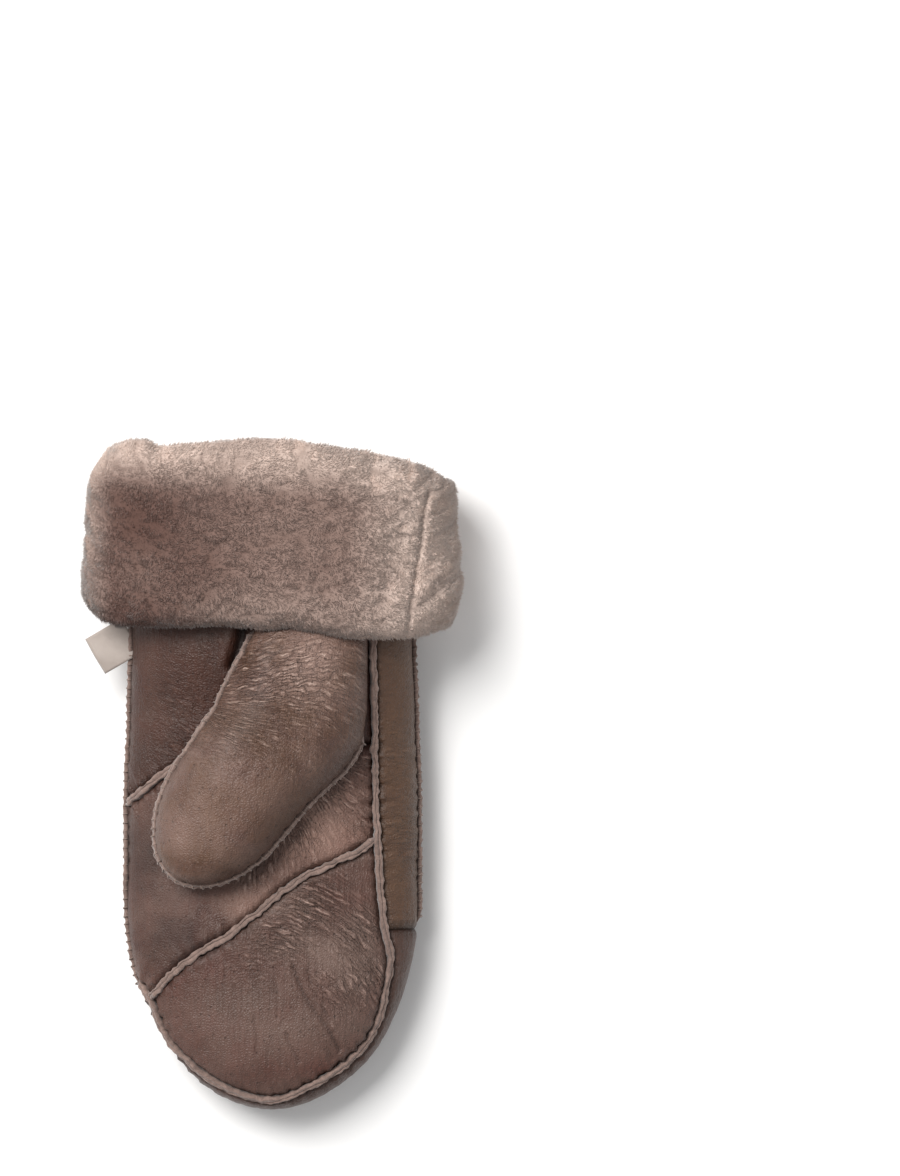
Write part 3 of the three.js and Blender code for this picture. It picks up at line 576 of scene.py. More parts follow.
def makeLeather(name, paints, streak, crinkles, spacing=2.2, length=8.0):
    base, warm, pale, dark, paintedGlint = (colour(*paint) for paint in paints)
    material, tree, shader = startMaterial(name)
    place = objectPlace(tree)
    grain = addNode(tree, "ShaderNodeGroup", dict(node_tree=hideGrain), Vector=place, Cells=950.0, Swell=150.0)
    flow = addNode(tree, "ShaderNodeUVMap", dict(uv_map="flow")).outputs[0]
    folds = addNode(tree, "ShaderNodeGroup", dict(node_tree=crinkle), Flow=flow, Spacing=spacing, Length=length)
    near, rubAndHighlight, wrinkled = attribute(tree, "paintedShadeAndHoles"), attribute(tree, "rubAndHighlight"), attribute(tree, "wrinkled")
    patches = between(tree, noiseAt(tree, place, 38.0, 4.0, 0.6, 0.3), 0.36, 0.66)
    drawn = addNode(tree, "ShaderNodeMapping", Vector=place, Scale=streak).outputs[0]
    streaks = between(tree, noiseAt(tree, drawn, 620.0, 2.0, 0.55), 0.38, 0.62)
    tint = blendColour(tree, grain.outputs["Mottle"], base, warm)
    tint = blendColour(tree, times(tree, streaks, 0.22), tint, dark)
    tint = blendColour(tree, times(tree, patches, 0.28), tint, pale)
    crest = times(tree, folds.outputs["Crest"], wrinkled)
    fold = times(tree, folds.outputs["Fold"], wrinkled)
    # paler where rubbed, and painted highlight where the leather would catch the light
    tint = blendColour(tree, times(tree, rubAndHighlight, 0.8), tint, pale)
    # painted shade: the folds between the crinkles are painted dark
    tint = blendColour(tree, times(tree, fold, 0.5), tint, dark)
    # painted highlight: the crests of the crinkles are painted pale as if they catch the light
    tint = blendColour(tree, times(tree, calc(tree, "POWER", crest, 1.3), 0.6), tint, paintedGlint)
    tint = blendColour(tree, times(tree, grain.outputs["Pores"], 0.45), tint, dark)
    # painted shade in the seam valleys, creases and shaded spots, with the real stitch holes
    tint = blendColour(tree, times(tree, near, 0.7), tint, dark)
    tree.links.new(tint, shader.inputs["Base Color"])
    rough = plus(tree, times(tree, grain.outputs["Mottle"], 0.12), 0.34)
    rough = calc(tree, "SUBTRACT", rough, times(tree, crest, 0.08))
    rough = plus(tree, rough, times(tree, near, 0.14))
    tree.links.new(rough, shader.inputs["Roughness"])
    deep = addNode(tree, "ShaderNodeBump", Strength=1.0, Distance=0.0004 * crinkles * spacing,
                   Height=times(tree, folds.outputs["Height"], wrinkled))
    skin = calc(tree, "SUBTRACT", grain.outputs["Height"], times(tree, streaks, 0.35))
    fine = addNode(tree, "ShaderNodeBump", Strength=0.85, Distance=0.0005, Height=skin, Normal=deep.outputs[0])
    tree.links.new(fine.outputs[0], shader.inputs["Normal"])
    shader.inputs["Specular IOR Level"].default_value = 0.38
    shader.inputs["Coat Weight"].default_value = 0.06
    shader.inputs["Coat Roughness"].default_value = 0.28
    return material


# the cut edge of the hide: napped, dark at the root with painted shade
def makeRawEdge(name, pale, dark):
    material, tree, shader = startMaterial(name)
    place = objectPlace(tree)
    nap = addNode(tree, "ShaderNodeGroup", dict(node_tree=fibres), Vector=place, Clumps=700.0, Strands=2400.0)
    tip = attribute(tree, "tip")
    # painted shade: dark at the root of each lip, paler at its top
    tint = blendColour(tree, tip, dark, pale)
    tint = blendColour(tree, times(tree, nap.outputs["Tone"], 0.62), tint, dark)
    finishSurface(tree, shader, tint, nap.outputs["Height"], 0.6, 0.0006,
                  Roughness=0.85, Sheen_Weight=0.35, Sheen_Roughness=0.5)
    return material


# sheared fleece: tip runs up each tuft with painted shade at the roots, light is where the pile is paler, partly
# its own tone and partly painted light, warm where it is redder
def makeFleece(name, *paints):
    root, warm, cool, pale = (colour(*paint) for paint in paints)
    material, tree, shader = startMaterial(name)
    place = objectPlace(tree)
    pile = addNode(tree, "ShaderNodeGroup", dict(node_tree=fibres), Vector=place, Clumps=360.0, Strands=1700.0)
    tip, light, redder = attribute(tree, "tip"), attribute(tree, "light"), attribute(tree, "warm")
    tint = blendColour(tree, redder, cool, warm)
    # light: paler tone with painted light
    tint = blendColour(tree, light, tint, pale)
    tint = blendColour(tree, times(tree, pile.outputs["Tone"], 0.25), tint, root)
    # painted shade: darker towards the roots of the pile
    depth = between(tree, tip, 0.0, 0.75, 0.5, 0.0)
    tint = blendColour(tree, depth, tint, root)
    finishSurface(tree, shader, tint, pile.outputs["Height"], 0.35, 0.0007,
                  Roughness=0.9, Specular_IOR_Level=0.25, Sheen_Weight=0.45, Sheen_Roughness=0.4)
    return material


# woven ribbon: fine cross ribs with a soft shine
def makeSatin(name, base, shade):
    material, tree, shader = startMaterial(name)
    flow = addNode(tree, "ShaderNodeUVMap", dict(uv_map="flow")).outputs[0]
    ribs, warp = (
        addNode(tree, "ShaderNodeTexWave", dict(wave_type="BANDS", bands_direction=way), Vector=flow, Scale=scale,
                Distortion=distortion, Detail=1.0).outputs["Fac"]
        for way, scale, distortion in (("X", 1.4, 0.4), ("Y", 1.1, 0.3))
    )
    weave = times(tree, ribs, warp)
    cloudy = noiseAt(tree, flow, 0.3, 2.0)
    tint = blendColour(tree, plus(tree, times(tree, weave, 0.3), times(tree, cloudy, 0.4)), base, shade)
    finishSurface(tree, shader, tint, weave, 0.35, 0.0002, Roughness=0.38, Sheen_Weight=0.2)
    return material


# paints: base, warmer patches, rubbed and painted highlight, dark in pores and painted shade in folds, painted
# glint on the crests of the crinkles
# the panels' paints differ partly in their own tone and partly as painted light, the heel darkest with painted
# shade beside the thumb
leatherLooks = dict(
    heel=dict(
        paints=[(58, 33, 23), (67, 34, 23), (86, 60, 49), (28, 16, 12), (122, 94, 82)],
        streak=(1, 0.1, 1), crinkles=0.8,
    ),
    middle=dict(
        paints=[(60, 35, 25), (72, 36, 26), (156, 124, 111), (30, 17, 13), (226, 198, 186)],
        streak=(1, 0.1, 1), crinkles=1.3, spacing=1.8, length=7.5,
    ),
    finger=dict(
        paints=[(78, 54, 45), (86, 51, 42), (114, 93, 84), (34, 21, 16), (198, 168, 156)],
        streak=(1, 0.08, 1), crinkles=1.4, spacing=1.7, length=8.5,
    ),
    thumb=dict(
        paints=[(80, 53, 43), (82, 54, 34), (152, 125, 114), (32, 19, 14), (206, 180, 167)],
        streak=(1, 0.3, 1), crinkles=1.3, spacing=1.5, length=7.5,
    ),
    strip=dict(
        paints=[(82, 57, 43), (90, 63, 43), (100, 77, 62), (34, 22, 16), (130, 104, 88)],
        streak=(0.1, 1, 1), crinkles=0.8,
    ),
    tip=dict(
        paints=[(70, 47, 38), (78, 49, 39), (88, 66, 57), (32, 20, 15), (108, 85, 75)],
        streak=(1, 0.2, 1), crinkles=0.5,
    ),
    back=dict(
        paints=[(82, 58, 48), (90, 59, 47), (110, 88, 78), (34, 22, 17), (146, 120, 109)],
        streak=(1, 0.1, 1), crinkles=0.9,
    ),
)
leathers = {name: makeLeather("leather_" + name, **look) for name, look in leatherLooks.items()}
rawEdge = makeRawEdge("raw_edge", colour(156, 131, 121), colour(48, 32, 26))
threadStuff = makeRawEdge("thread", colour(152, 130, 119), colour(56, 40, 33))
fleeceStuff = makeFleece("fleece", (78, 56, 48), (88, 62, 55), (148, 125, 116), (224, 203, 191))
liningStuff = makeFleece("fleece_lining", (96, 76, 68), (146, 120, 110), (156, 136, 127), (200, 182, 172))
satin = makeSatin("satin", colour(172, 160, 152), colour(136, 124, 116))
print("materials ready")


def treeOf(line):
    tree = KDTree(len(line))
    for i, p in enumerate(line):
        tree.insert(p, i)
    tree.balance()
    return tree


# distance to a seam and length along it, for the points within reach; far points get a large distance
def nearestOn(line, points, reach):
    distance = np.full(len(points), 1e3)
    along = np.zeros(len(points))
    tree = treeOf(line)
    low, high = line.min(0) - reach, line.max(0) + reach
    for i in np.nonzero(((points > low) & (points < high)).all(1))[0]:
        _, at, d = tree.find(points[i])
        if d < reach:
            distance[i], along[i] = d, at
    return distance, along * float(np.linalg.norm(line[1] - line[0]))


# distance in plan from x, y to a bent line
def lineDistance(points, x, y):
    best = np.full(len(x), 1e3)
    for (ax, ay), (bx, by) in zip(points, points[1:]):
        t = np.clip(((x - ax) * (bx - ax) + (y - ay) * (by - ay)) / ((bx - ax) ** 2 + (by - ay) ** 2), 0, 1)
        best = np.minimum(best, np.hypot(x - ax - t * (bx - ax), y - ay - t * (by - ay)))
    return best


def inside(polygon, x, y):
    result = np.zeros(len(x), bool)
    for (ax, ay), (bx, by) in zip(polygon, np.roll(polygon, -1, axis=0)):
        crosses = ((ay > y) != (by > y))
        with np.errstate(divide="ignore", invalid="ignore"):
            result ^= crosses & (x < (bx - ax) * (y - ay) / (by - ay) + ax)
    return result


# what each seam does to the leather beside it: depth and reach of the valley, height of the puckers,
# and below which y it fades to which share
seamForms = dict(
    palm=dict(depth=2.1, reach=3.6, pucker=0.8, phase=0.0),
    diagonal=dict(depth=2.1, reach=3.5, pucker=0.7, phase=1.3),
    cross=dict(depth=2.1, reach=3.5, pucker=0.7, phase=0.4),
    left=dict(depth=0.7, reach=3.2, pucker=0.4, phase=0.2, fades=(-98, 0.35)),
    right=dict(depth=0.7, reach=3.2, pucker=0.34, phase=1.7),
    joint=dict(depth=1.0, reach=2.2, pucker=0.12, phase=0.0),
    backCentre=dict(depth=2.5, reach=5.2, pucker=0.3, phase=2.2, fades=(-137, 0.2)),
    backSide=dict(depth=2.5, reach=5.2, pucker=0.3, phase=0.9, fades=(-137, 0.2)),
)
stitch = dict(spacing=3.4, thread=0.3, sides=5, steps=7)


# how the leather bulges between the stitches
def stitchBeat(along, shift, phase):
    turn = 2 * math.pi * along
    return np.sin(turn / (2 * stitch["spacing"]) + shift) + 0.6 * np.sin(turn / stitch["spacing"] + phase)


# dark dots beside a seam, one to a stitch
def stitchHoles(along, distance, away):
    dots = np.clip(2 * np.cos(2 * math.pi * along / stitch["spacing"]), 0, 1)
    return dots * np.exp(-((distance - away) / 0.9) ** 2)


# how deep the seams draw the leather in, how much it puckers and how near the nearest seam is
def seamMarks(points):
    sink, pucker, near = (np.zeros(len(points)) for _ in range(3))
    for name, form in seamForms.items():
        distance, along = nearestOn(seams[name][0], points, 14)
        wander = 0.25 * np.sin(along / 5.3 + form["phase"]) + 0.2 * np.sin(along / 11.7 + 2 * form["phase"])
        valley = form["depth"] * (1 - smooth(distance / (form["reach"] * (1 + 0.25 * wander))))
        low, rest = form.get("fades", (-200, 1))
        fade = mix(rest, 1, smooth((points[:, 1] - low) / 5))
        valley = valley * fade
        sink = np.maximum(sink, valley)
        beat = stitchBeat(along, 3 * wander, form["phase"])
        share = smooth(distance / 1.5) * np.exp(-np.maximum(0, distance - 2) / 4.0)
        share *= 0.55 + 0.45 * np.sin(along / 17 + 4 * form["phase"])
        pucker += np.where(distance < 14, form["pucker"] * beat * share, 0)
        # near also darkens the leather: painted shade in the valley beside the seam, plus the stitch holes
        near = np.maximum(near, fade * np.exp(-(distance / 2.3) ** 2))
        near = np.maximum(near, 0.75 * fade * stitchHoles(along, distance, 2.6))
    return sink, pucker, near


# where the palm leather is crinkled: x, y, radius, strength
crinkleSpots = np.array([
    (22, -4, 15, 1.0), (32, 6, 10, 0.8), (8, -22, 14, 0.95), (-8, -34, 13, 0.75), (34, -20, 10, 0.5),
    (18, -52, 14, 1.0), (35, -62, 12, 1.0), (40, -80, 12, 0.95), (4, -64, 13, 0.8), (28, -86, 12, 0.6),
    (-6, -74, 12, 0.4), (-34, 30, 14, 0.45), (-32, 12, 12, 0.7), (53, 10, 14, 0.4), (54, -25, 16, 0.5),
    (-10, 40, 8, 0.4), (-24, 52, 10, 0.3),
])


def crinkleStrength(x, y):
    strength = np.zeros(len(x))
    for cx, cy, radius, amount in crinkleSpots:
        strength = np.maximum(strength, amount * np.exp(-((x - cx) ** 2 + (y - cy) ** 2) / radius**2))
    return strength


# where the leather is rubbed paler with painted highlight, or given painted shade below 0: x, y, reach across,
# reach along, strength
wearAndLightSpots = np.array([
    (-13, 66, 14, 10, 0.35), (-48, 48, 3.5, 26, 0.35), (-30, 44, 6, 16, 0.3), (-4, -52, 18, 8, 0.7),
    (20, -20, 15, 16, 1.15), (31, -70, 16, 14, 0.95), (12, -70, 18, 6, 0.45), (6, -104, 24, 14, 0.55),
    (34, -88, 10, 18, 0.3), (-24, -92, 14, 12, 0.3), (-44, -100, 8, 12, 0.2), (-48, -36, 15, 26, -0.75),
    (-34, -66, 14, 12, -0.6),
    (-22, 34, 9, 16, -0.3), (0, -122, 34, 7, -0.25),
])


def wearAndLightStrength(x, y):
    wearAndLight = np.zeros(len(x))
    for cx, cy, across, along, amount in wearAndLightSpots:
        wearAndLight += amount * np.exp(-((x - cx) / across) ** 2 - ((y - cy) / along) ** 2)
    return wearAndLight * (0.7 + 0.6 * softNoise(x / 7, y / 6, 22))


# how the crinkles of a panel run: straight at an angle, in arcs round a point or in rays from one
panelFlow = dict(
    palm_finger_panel=("arcs", -10, -112), palm_middle_panel=("rays", -4, 22), palm_heel_panel=("straight", -24),
    tip_strip=("straight", 60), back_panel_left=("straight", 8), back_panel_right=("straight", -5),
)


def flowOf(name, x, y):
    kind, *place = panelFlow.get(name, ("straight", 0))
    if kind == "straight":
        c, s = math.cos(math.radians(place[0])), math.sin(math.radians(place[0]))
        return np.stack([x * c + y * s, -x * s + y * c], -1)
    away, angle = np.hypot(x - place[0], y - place[1]), np.arctan2(y - place[1], x - place[0])
    return np.stack([50 * angle, away] if kind == "arcs" else [away, 55 * angle], -1)


# folds big enough for the mesh, up to about half a millimetre high
def wrinkles(flow, seed):
    along, across = flow[:, 0], flow[:, 1] + 1.2 * np.sin(flow[:, 0] / 5)
    wide = ridges(along / 9, across / 4.2, seed)
    thin = ridges(along / 6 + 5, across / 2.9 + 8, seed + 3)
    return np.maximum(0.34 * wide, 0.3 * thin)


# the whole outside of the hand as one sheet, before it is cut into panels
def handMesh():
    palmColumns, backColumns = hand["palmColumns"], hand["backColumns"]
    columns, rows = palmColumns + backColumns, hand["straightRows"] + hand["tipRows"]
    mesh = toMesh(layGrid(columns, rows), "hand")
    u, v = gridPlaces(columns, rows)
    column, row = np.rint(u * columns), np.rint(v * rows)
    straight = mix(hand["wristEnd"], hand["tipStart"], row / hand["straightRows"])
    onTip = 0.9995 * (row - hand["straightRows"]) / hand["tipRows"]
    tip = hand["tipStart"] - hand["tipLength"] * np.sin(math.pi / 2 * onTip)
    y = np.where(row <= hand["straightRows"], straight, tip)
    half = handSection(y)["half"]
    onPalm = column <= palmColumns
    angle = np.where(onPalm, math.pi * column / palmColumns, math.pi * (column - palmColumns) / backColumns)
    x = half * np.cos(angle) * np.where(onPalm, 1, -1)
    z = np.where(onPalm, palmZ(x, y), backZ(x, y))
    setPoints(mesh, np.stack([x, y, z], -1))
    return mergeClose(mesh, 0.03, outward=True)


# which panel each place belongs to
def panelOf(x, y, z):
    s = handSection(y)
    up = z > s["seamZ"]
    lines = {name: seams[name][0] for name in seams}
    palm = lines["palm"]
    border = np.vstack([palm[:, :2], [(-200, palm[-1, 1]), (-200, 200), (palm[0, 0], 200)]])
    inPalm = inside(border, x, y) & up
    lower = y < np.interp(x, lines["diagonal"][:, 0], lines["diagonal"][:, 1])
    middle = y < np.interp(x, lines["cross"][:, 0], lines["cross"][:, 1])
    centre, side = (lines[k][::-1] for k in ("backCentre", "backSide"))
    centreX, sideX = np.interp(y, centre[:, 1], centre[:, 0]), np.interp(y, side[:, 1], side[:, 0])
    beyond = y < hand["joint"]
    names = np.full(len(x), "tip_strip", object)
    names[up & ~inPalm & ~beyond] = "side_strip_palm"
    names[inPalm] = "palm_heel_panel"
    names[inPalm & middle] = "palm_middle_panel"
    names[inPalm & lower] = "palm_finger_panel"
    names[~up & (x > sideX) & ~beyond] = "side_strip_back"
    names[~up & (x <= sideX)] = "back_panel_right"
    names[~up & (x <= centreX)] = "back_panel_left"
    return names


# vertices between two panels move onto the seam that parts them
def snapToSeams(mesh, names):
    corners = [tuple(p.vertices) for p in mesh.polygons]
    first = {}
    border = set()
    for k, vertices in enumerate(corners):
        for v in vertices:
            if first.setdefault(v, names[k]) != names[k]:
                border.add(v)
    points = getPoints(mesh)
    line = np.vstack([seams[k][0] for k in ("palm", "diagonal", "cross", "backCentre", "backSide", "joint")])
    tree = treeOf(line)
    for v in border:
        at, _, distance = tree.find(points[v])
        if distance < 1.3 and points[v, 1] > hand["lowest"] + 0.05:
            points[v] = at
    setPoints(mesh, points)


def faceCentres(mesh):
    centres = np.empty(len(mesh.polygons) * 3, np.float32)
    mesh.polygons.foreach_get("center", centres)
    return centres.reshape(-1, 3).astype(float)


# long creases on the palm: points in x, y, then depth and half width
creases = [
    ([(-10.5, 64.0), (-12.0, 54.0), (-14.6, 43.5)], 2.3, 2.7),
    ([(8.6, -76.5), (11.5, -84.0), (16.6, -93.5), (21.8, -100.5), (26.8, -110.0)], 0.75, 1.0),
    ([(14.0, -77.5), (16.2, -84.0), (20.0, -91.5), (23.6, -99.2)], 0.6, 0.9),
    ([(5.6, -103.0), (7.6, -108.5), (11.0, -114.5)], 0.55, 0.8),
    ([(17.5, -101.0), (20.5, -106.5), (24.4, -113.8)], 0.4, 0.8),
    ([(-6.5, -96.0), (-5.6, -104.0), (-6.2, -112.0)], 0.3, 0.9),
    ([(1.5, -82.0), (2.6, -90.5), (2.0, -97.0)], 0.3, 0.9),
    ([(34.0, -66.0), (38.5, -74.0), (42.0, -83.5)], 0.5, 1.0),
    ([(28.0, -60.0), (34.0, -68.5), (38.0, -78.0)], 0.4, 1.0),
    ([(24.0, -79.0), (31.0, -86.0), (37.0, -94.5)], 0.35, 1.0),
    ([(14.0, -62.0), (24.0, -66.5), (32.5, -73.5)], 0.35, 1.1),
]
backFold = [(3, -49), (16, -52.5), (33, -52)]


# works the seams, crinkles and creases into the sheet and writes down where they are
def dressHand(mesh):
    points, normals = getPoints(mesh), getNormals(mesh)
    x, y, z = points.T
    up = z > handSection(y)["seamZ"]
    sink, pucker, near = seamMarks(points)
    strength = crinkleStrength(x, np.where(up, y, -y - 10)) * np.where(up, 1, 0.45)
    panel = panelOf(x, y, z)
    flow = np.zeros((len(x), 2))
    for name in sorted(set(panel)):
        flow = np.where((panel == name)[:, None], flowOf(name, x, y), flow)
    away = smooth((1 - near) * 1.4)
    folds = wrinkles(flow, 5) * strength * away
    soft = (softNoise(x / 34 + 9, y / 34 + 4, 11) - 0.5) * 1.5 + (softNoise(x / 13, y / 13, 12) - 0.5) * 0.45
    crease = np.zeros(len(x))
    for line, depth, width in creases:
        d = lineDistance(throughPoints(np.array(line, float), 1.0), x, y)
        fall = np.exp(-(1.2 * d / width) ** 2) - 0.45 * np.exp(-((d - 1.9 * width) / width) ** 2)
        crease += np.where(up, 1.2 * depth * fall, 0)
    backCrease = np.where(up, 0, 0.8 * np.exp(-(lineDistance(backFold, x, y) / 1.2) ** 2))
    edgeFade = smooth((hand["wristEnd"] - y) / 12)
    lift = -sink + (pucker + folds + soft * away) * edgeFade - crease - backCrease
    resting = ~up & (z < 3)
    lift = np.where(resting, np.minimum(lift, z - 0.02), lift)
    lift = np.where(y < hand["lowest"] + 0.3, lift * smooth(np.hypot(x, z - handSection(y)["seamZ"]) / 3), lift)
    points = points + normals * lift[:, None]
    points[:, 2] = np.maximum(points[:, 2], 0.02)
    setPoints(mesh, points)
    # darker towards the tip on the back
    backDarkerToTip = 0.28 * smooth((-108 - y) / 14) * (panel != "tip_strip")
    # painted shade on the palm where the spots are below 0
    darkened = np.where(up, np.clip(-wearAndLightStrength(x, y), 0, 1), backDarkerToTip)
    # painted shade in the creases
    creaseShade = 0.8 * smooth((crease - 0.3) / 0.6) + 0.5 * smooth((crease - 1.2) / 1)
    setShade(mesh, "paintedShadeAndHoles", np.clip(np.maximum(near, creaseShade) + darkened, 0, 1.3))
    setShade(mesh, "wrinkled", np.clip(strength * away * 1.15, 0, 1))
    wearAndLight = np.where(up, wearAndLightStrength(x, y), 0.5 * softNoise(x / 18 + 3, y / 30, 21) ** 2)
    # the raised folds are painted paler as highlight, with the rubbed and highlighted spots
    setShade(mesh, "rubAndHighlight", np.clip(folds + wearAndLight, 0, 1))


# one piece for each panel, from a copy of the sheet without the other panels
def cutPanels(mesh, names, looks):
    for name, look in looks.items():
        panel = toMesh(openMesh(mesh, np.nonzero(names != name)[0]), name)
        x, y, _ = getPoints(panel).T
        setFlow(panel, flowOf(name, x, y))
        addPiece(name + "_skin", panel, leathers[look], [name], wall=hand["leather"])


# faces of the palm that the thumb opens through
def underThumb(centres):
    return inside(thumbOutline(first=0.02, last=0.62, count=24, inset=4), centres[:, 0], centres[:, 1])


sheet = handMesh()
centres = faceCentres(sheet)
panelNames = panelOf(*centres.T)
snapToSeams(sheet, panelNames)
dressHand(sheet)
hole = underThumb(centres) & (centres[:, 2] > handSection(centres[:, 1])["seamZ"] + 6)
panelNames[hole] = "thumb_opening"
cutPanels(sheet, panelNames, dict(
    palm_heel_panel="heel", palm_middle_panel="middle", palm_finger_panel="finger", side_strip_palm="strip",
    side_strip_back="strip", tip_strip="tip", back_panel_left="back", back_panel_right="back",
))
print("hand panels made")


def thumbMesh(upper):
    fine = 1 if upper else 2
    columns, rows = thumb["columns"] // fine, (thumb["bodyRows"] + thumb["tipRows"]) // fine
    mesh = toMesh(layGrid(columns, rows), "thumb")
    u, v = gridPlaces(columns, rows)
    body = thumb["bodyRows"] // fine
    row = np.rint(v * rows)
    place = np.where(row <= body, row / body, 1 + 0.999 * (row - body) / (rows - body))
    across = -np.cos(math.pi * u)
    setPoints(mesh, thumbPoint(place, across, upper))
    setShade(mesh, "place", place)
    setShade(mesh, "across", across)
    return mesh


def dressThumb(mesh, upper):
    mesh = mergeClose(mesh, 0.03, outward=True)
    points, normals = getPoints(mesh), getNormals(mesh)
    if np.median(normals[:, 2]) * (1 if upper else -1) < 0:
        mesh.flip_normals()
        normals = -normals
    place, across = readShade(mesh, "place"), readShade(mesh, "across")
    distance, along = nearestOn(seams["thumb"][0], points, 14)
    near = np.exp(-(distance / 2.0) ** 2)
    near = np.maximum(near, 0.9 * stitchHoles(along, distance, 2.4))
    if upper:
        # painted shade on the thumb's right side where it turns towards the palm
        near = np.maximum(near, 0.5 * smooth((across - 0.2) / 0.7) * smooth((place - 0.3) / 0.4))
    s = thumbSection(place)
    body, onTip = thumb["bodyFlow"], np.sin(math.pi / 2 * np.clip(place - 1, 0, 1))
    travel = np.where(place <= 1, place * body, body + thumb["tipFlow"] * onTip)
    share = smooth(distance / 1.2) * np.exp(-np.maximum(0, distance - 1.5) / 3.2)
    pucker = np.where(distance < 14, 0.3 * stitchBeat(along, 0, 1) * share, 0)
    bent = travel - 4 * across**2 + 3 * np.sin(across * 2 + travel / 30)
    atBend = 0.75 * np.exp(-((place - 0.72) / 0.2) ** 2) * (0.4 + 0.6 * np.clip(-across + 0.3, 0, 1))
    wrinkled = np.exp(-((place - 0.25) / 0.28) ** 2) + atBend
    wrinkled = np.clip(wrinkled * (1 - 0.5 * np.clip(across, 0, 1)), 0, 1) * smooth(distance / 5)
    folds = 0.7 * wrinkles(np.stack([across * s["half"], bent], -1), 31) * wrinkled
    soft = (softNoise(points[:, 0] / 22, points[:, 1] / 22, 33) - 0.5) * 1.1 * smooth(distance / 8)
    valley = 0.7 * (1 - smooth(distance / 3))
    lift = -valley + (folds + pucker + soft if upper else pucker)
    if not upper:
        lift = np.minimum(lift, 0)
    setPoints(mesh, points + normals * lift[:, None])
    setShade(mesh, "paintedShadeAndHoles", near)
    setShade(mesh, "wrinkled", wrinkled if upper else wrinkled * 0.4)
    # paler on the thumb's top near the root and at its tip: wear and painted highlight
    wearAndLight = 0.32 * np.exp(-((place - 1.3) / 0.28) ** 2 - ((across + 0.25) / 0.4) ** 2)
    wearAndLight += 0.95 * np.exp(-((place - 0.16) / 0.2) ** 2 - ((across - 0.1) / 0.5) ** 2)
    setShade(mesh, "rubAndHighlight", np.clip(folds + wearAndLight, 0, 1))
    setFlow(mesh, np.stack([across * s["half"], bent], -1))
    return mesh


# the under side of the thumb opens into the hand where it dips below the palm
def dropInside(mesh):
    centres = faceCentres(mesh)
    away = np.nonzero(centres[:, 2] < palmZ(centres[:, 0], centres[:, 1]) - 2.5)[0]
    return closeMesh(openMesh(mesh, away), mesh)


addPiece("thumb_outer_skin", dressThumb(thumbMesh(True), True), leathers["thumb"],
         ["thumb_outer_panel"], wall=hand["leather"])
addPiece("thumb_inner_skin", dropInside(dressThumb(thumbMesh(False), False)), leathers["middle"],
         ["thumb_inner_panel"], wall=thumb["underWall"])
print("thumb made")


# the two lips of a raised edge: across, height from 0 at the root to 1 at the top
lipShape = np.array([
    (-0.86, 0.0), (-1.0, 0.5), (-0.98, 0.84), (-0.82, 0.96), (-0.5, 1.0), (-0.16, 0.98), (-0.05, 0.87),
    (0.05, 0.87), (0.16, 0.98), (0.5, 1.0), (0.82, 0.96), (0.98, 0.84), (1.0, 0.5), (0.86, 0.0),
])


# along a seam, out of the leather and across
def edgeFrame(points, outs):
    along = unit(np.gradient(points, axis=0))
    outs = unit(outs - along * (outs * along).sum(1, keepdims=True))
    return along, outs, np.cross(along, outs)


# a bar with two lips along a seam, wavy and nipped at each stitch
def edgeMesh(points, outs, low, high, width, taper, stub, seed):
    _, outs, side = edgeFrame(points, outs)
    rows, columns = len(points) - 1, len(lipShape)
    mesh = toMesh(layGrid(columns, rows), "edge")
    u, v = gridPlaces(columns, rows)
    k, i = np.rint(u * columns).astype(int) % columns, np.rint(v * rows).astype(int)
    length = i * float(np.linalg.norm(points[1] - points[0]))

    def noise(place, number):
        return softNoise(place, 0 * place, seed + number)

    nip = 0.5 + 0.5 * np.cos(2 * math.pi * length / stitch["spacing"])
    nip *= 0.3 + 0.9 * noise(length / 12, 6)
    lip = np.where(lipShape[k, 0] < 0, 0.0, 5.3)
    swell = 0.58 + 0.4 * softNoise(length / 4.5 + lip, length * 0 + seed, seed) + 0.5 * noise(length / 1.6 + lip, 9)
    sway = (noise(length / 9, 1) - 0.5) * 0.9 + (noise(length / 2.6, 2) - 0.5) * 0.6
    cleft = (noise(length / 6, 5) - 0.5) * 0.4 * width * (np.abs(lipShape[k, 0]) < 0.3)
    across = lipShape[k, 0] * width / 2 * swell * (1 - 0.12 * nip) + cleft + sway * smooth(lipShape[k, 1] * 2)
    top = high + (noise(length / 3.1 + lip, 3) - 0.5) * 0.6 - 0.3 * nip
    height = mix(low, top, lipShape[k, 1])
    ends = smooth(length / taper) * smooth((length.max() - length) / taper)
    height = mix(low, height, mix(stub, 1, ends))
    setPoints(mesh, points[i] + side[i] * across[:, None] + outs[i] * height[:, None])
    fleck = 0.62 + 0.38 * softNoise(length / 2 + lip, height, seed + 4)
    # tip runs from painted shade at the root of the lip to its pale top, flecked at random
    setShade(mesh, "tip", smooth(lipShape[k, 1] / 0.7) * fleck)
    return closeMesh(fillEnds(openMesh(mesh)), mesh, outward=True)


# paths of the stitches over one edge, a row of points each
def threadLoops(points, outs, low, high, width, taper, **_):
    along, outs, side = edgeFrame(points, outs)
    step = float(np.linalg.norm(points[1] - points[0]))
    loops = []
    for length in np.arange(stitch["spacing"] * 0.5, len(points) * step - taper / 2, stitch["spacing"]):
        i = min(len(points) - 1, int(length / step))
        t = np.linspace(-1, 1, stitch["steps"])
        reach = width / 2 + 0.55
        across = reach * np.sign(t) * np.abs(t) ** 0.8
        height = mix(low + 0.5, high + 0.1, (1 - np.abs(t) ** 2.6))
        bent = side[i] * across[:, None] + outs[i] * height[:, None] + along[i] * (t * 0.5)[:, None]
        loops.append(points[i] + bent)
    return loops


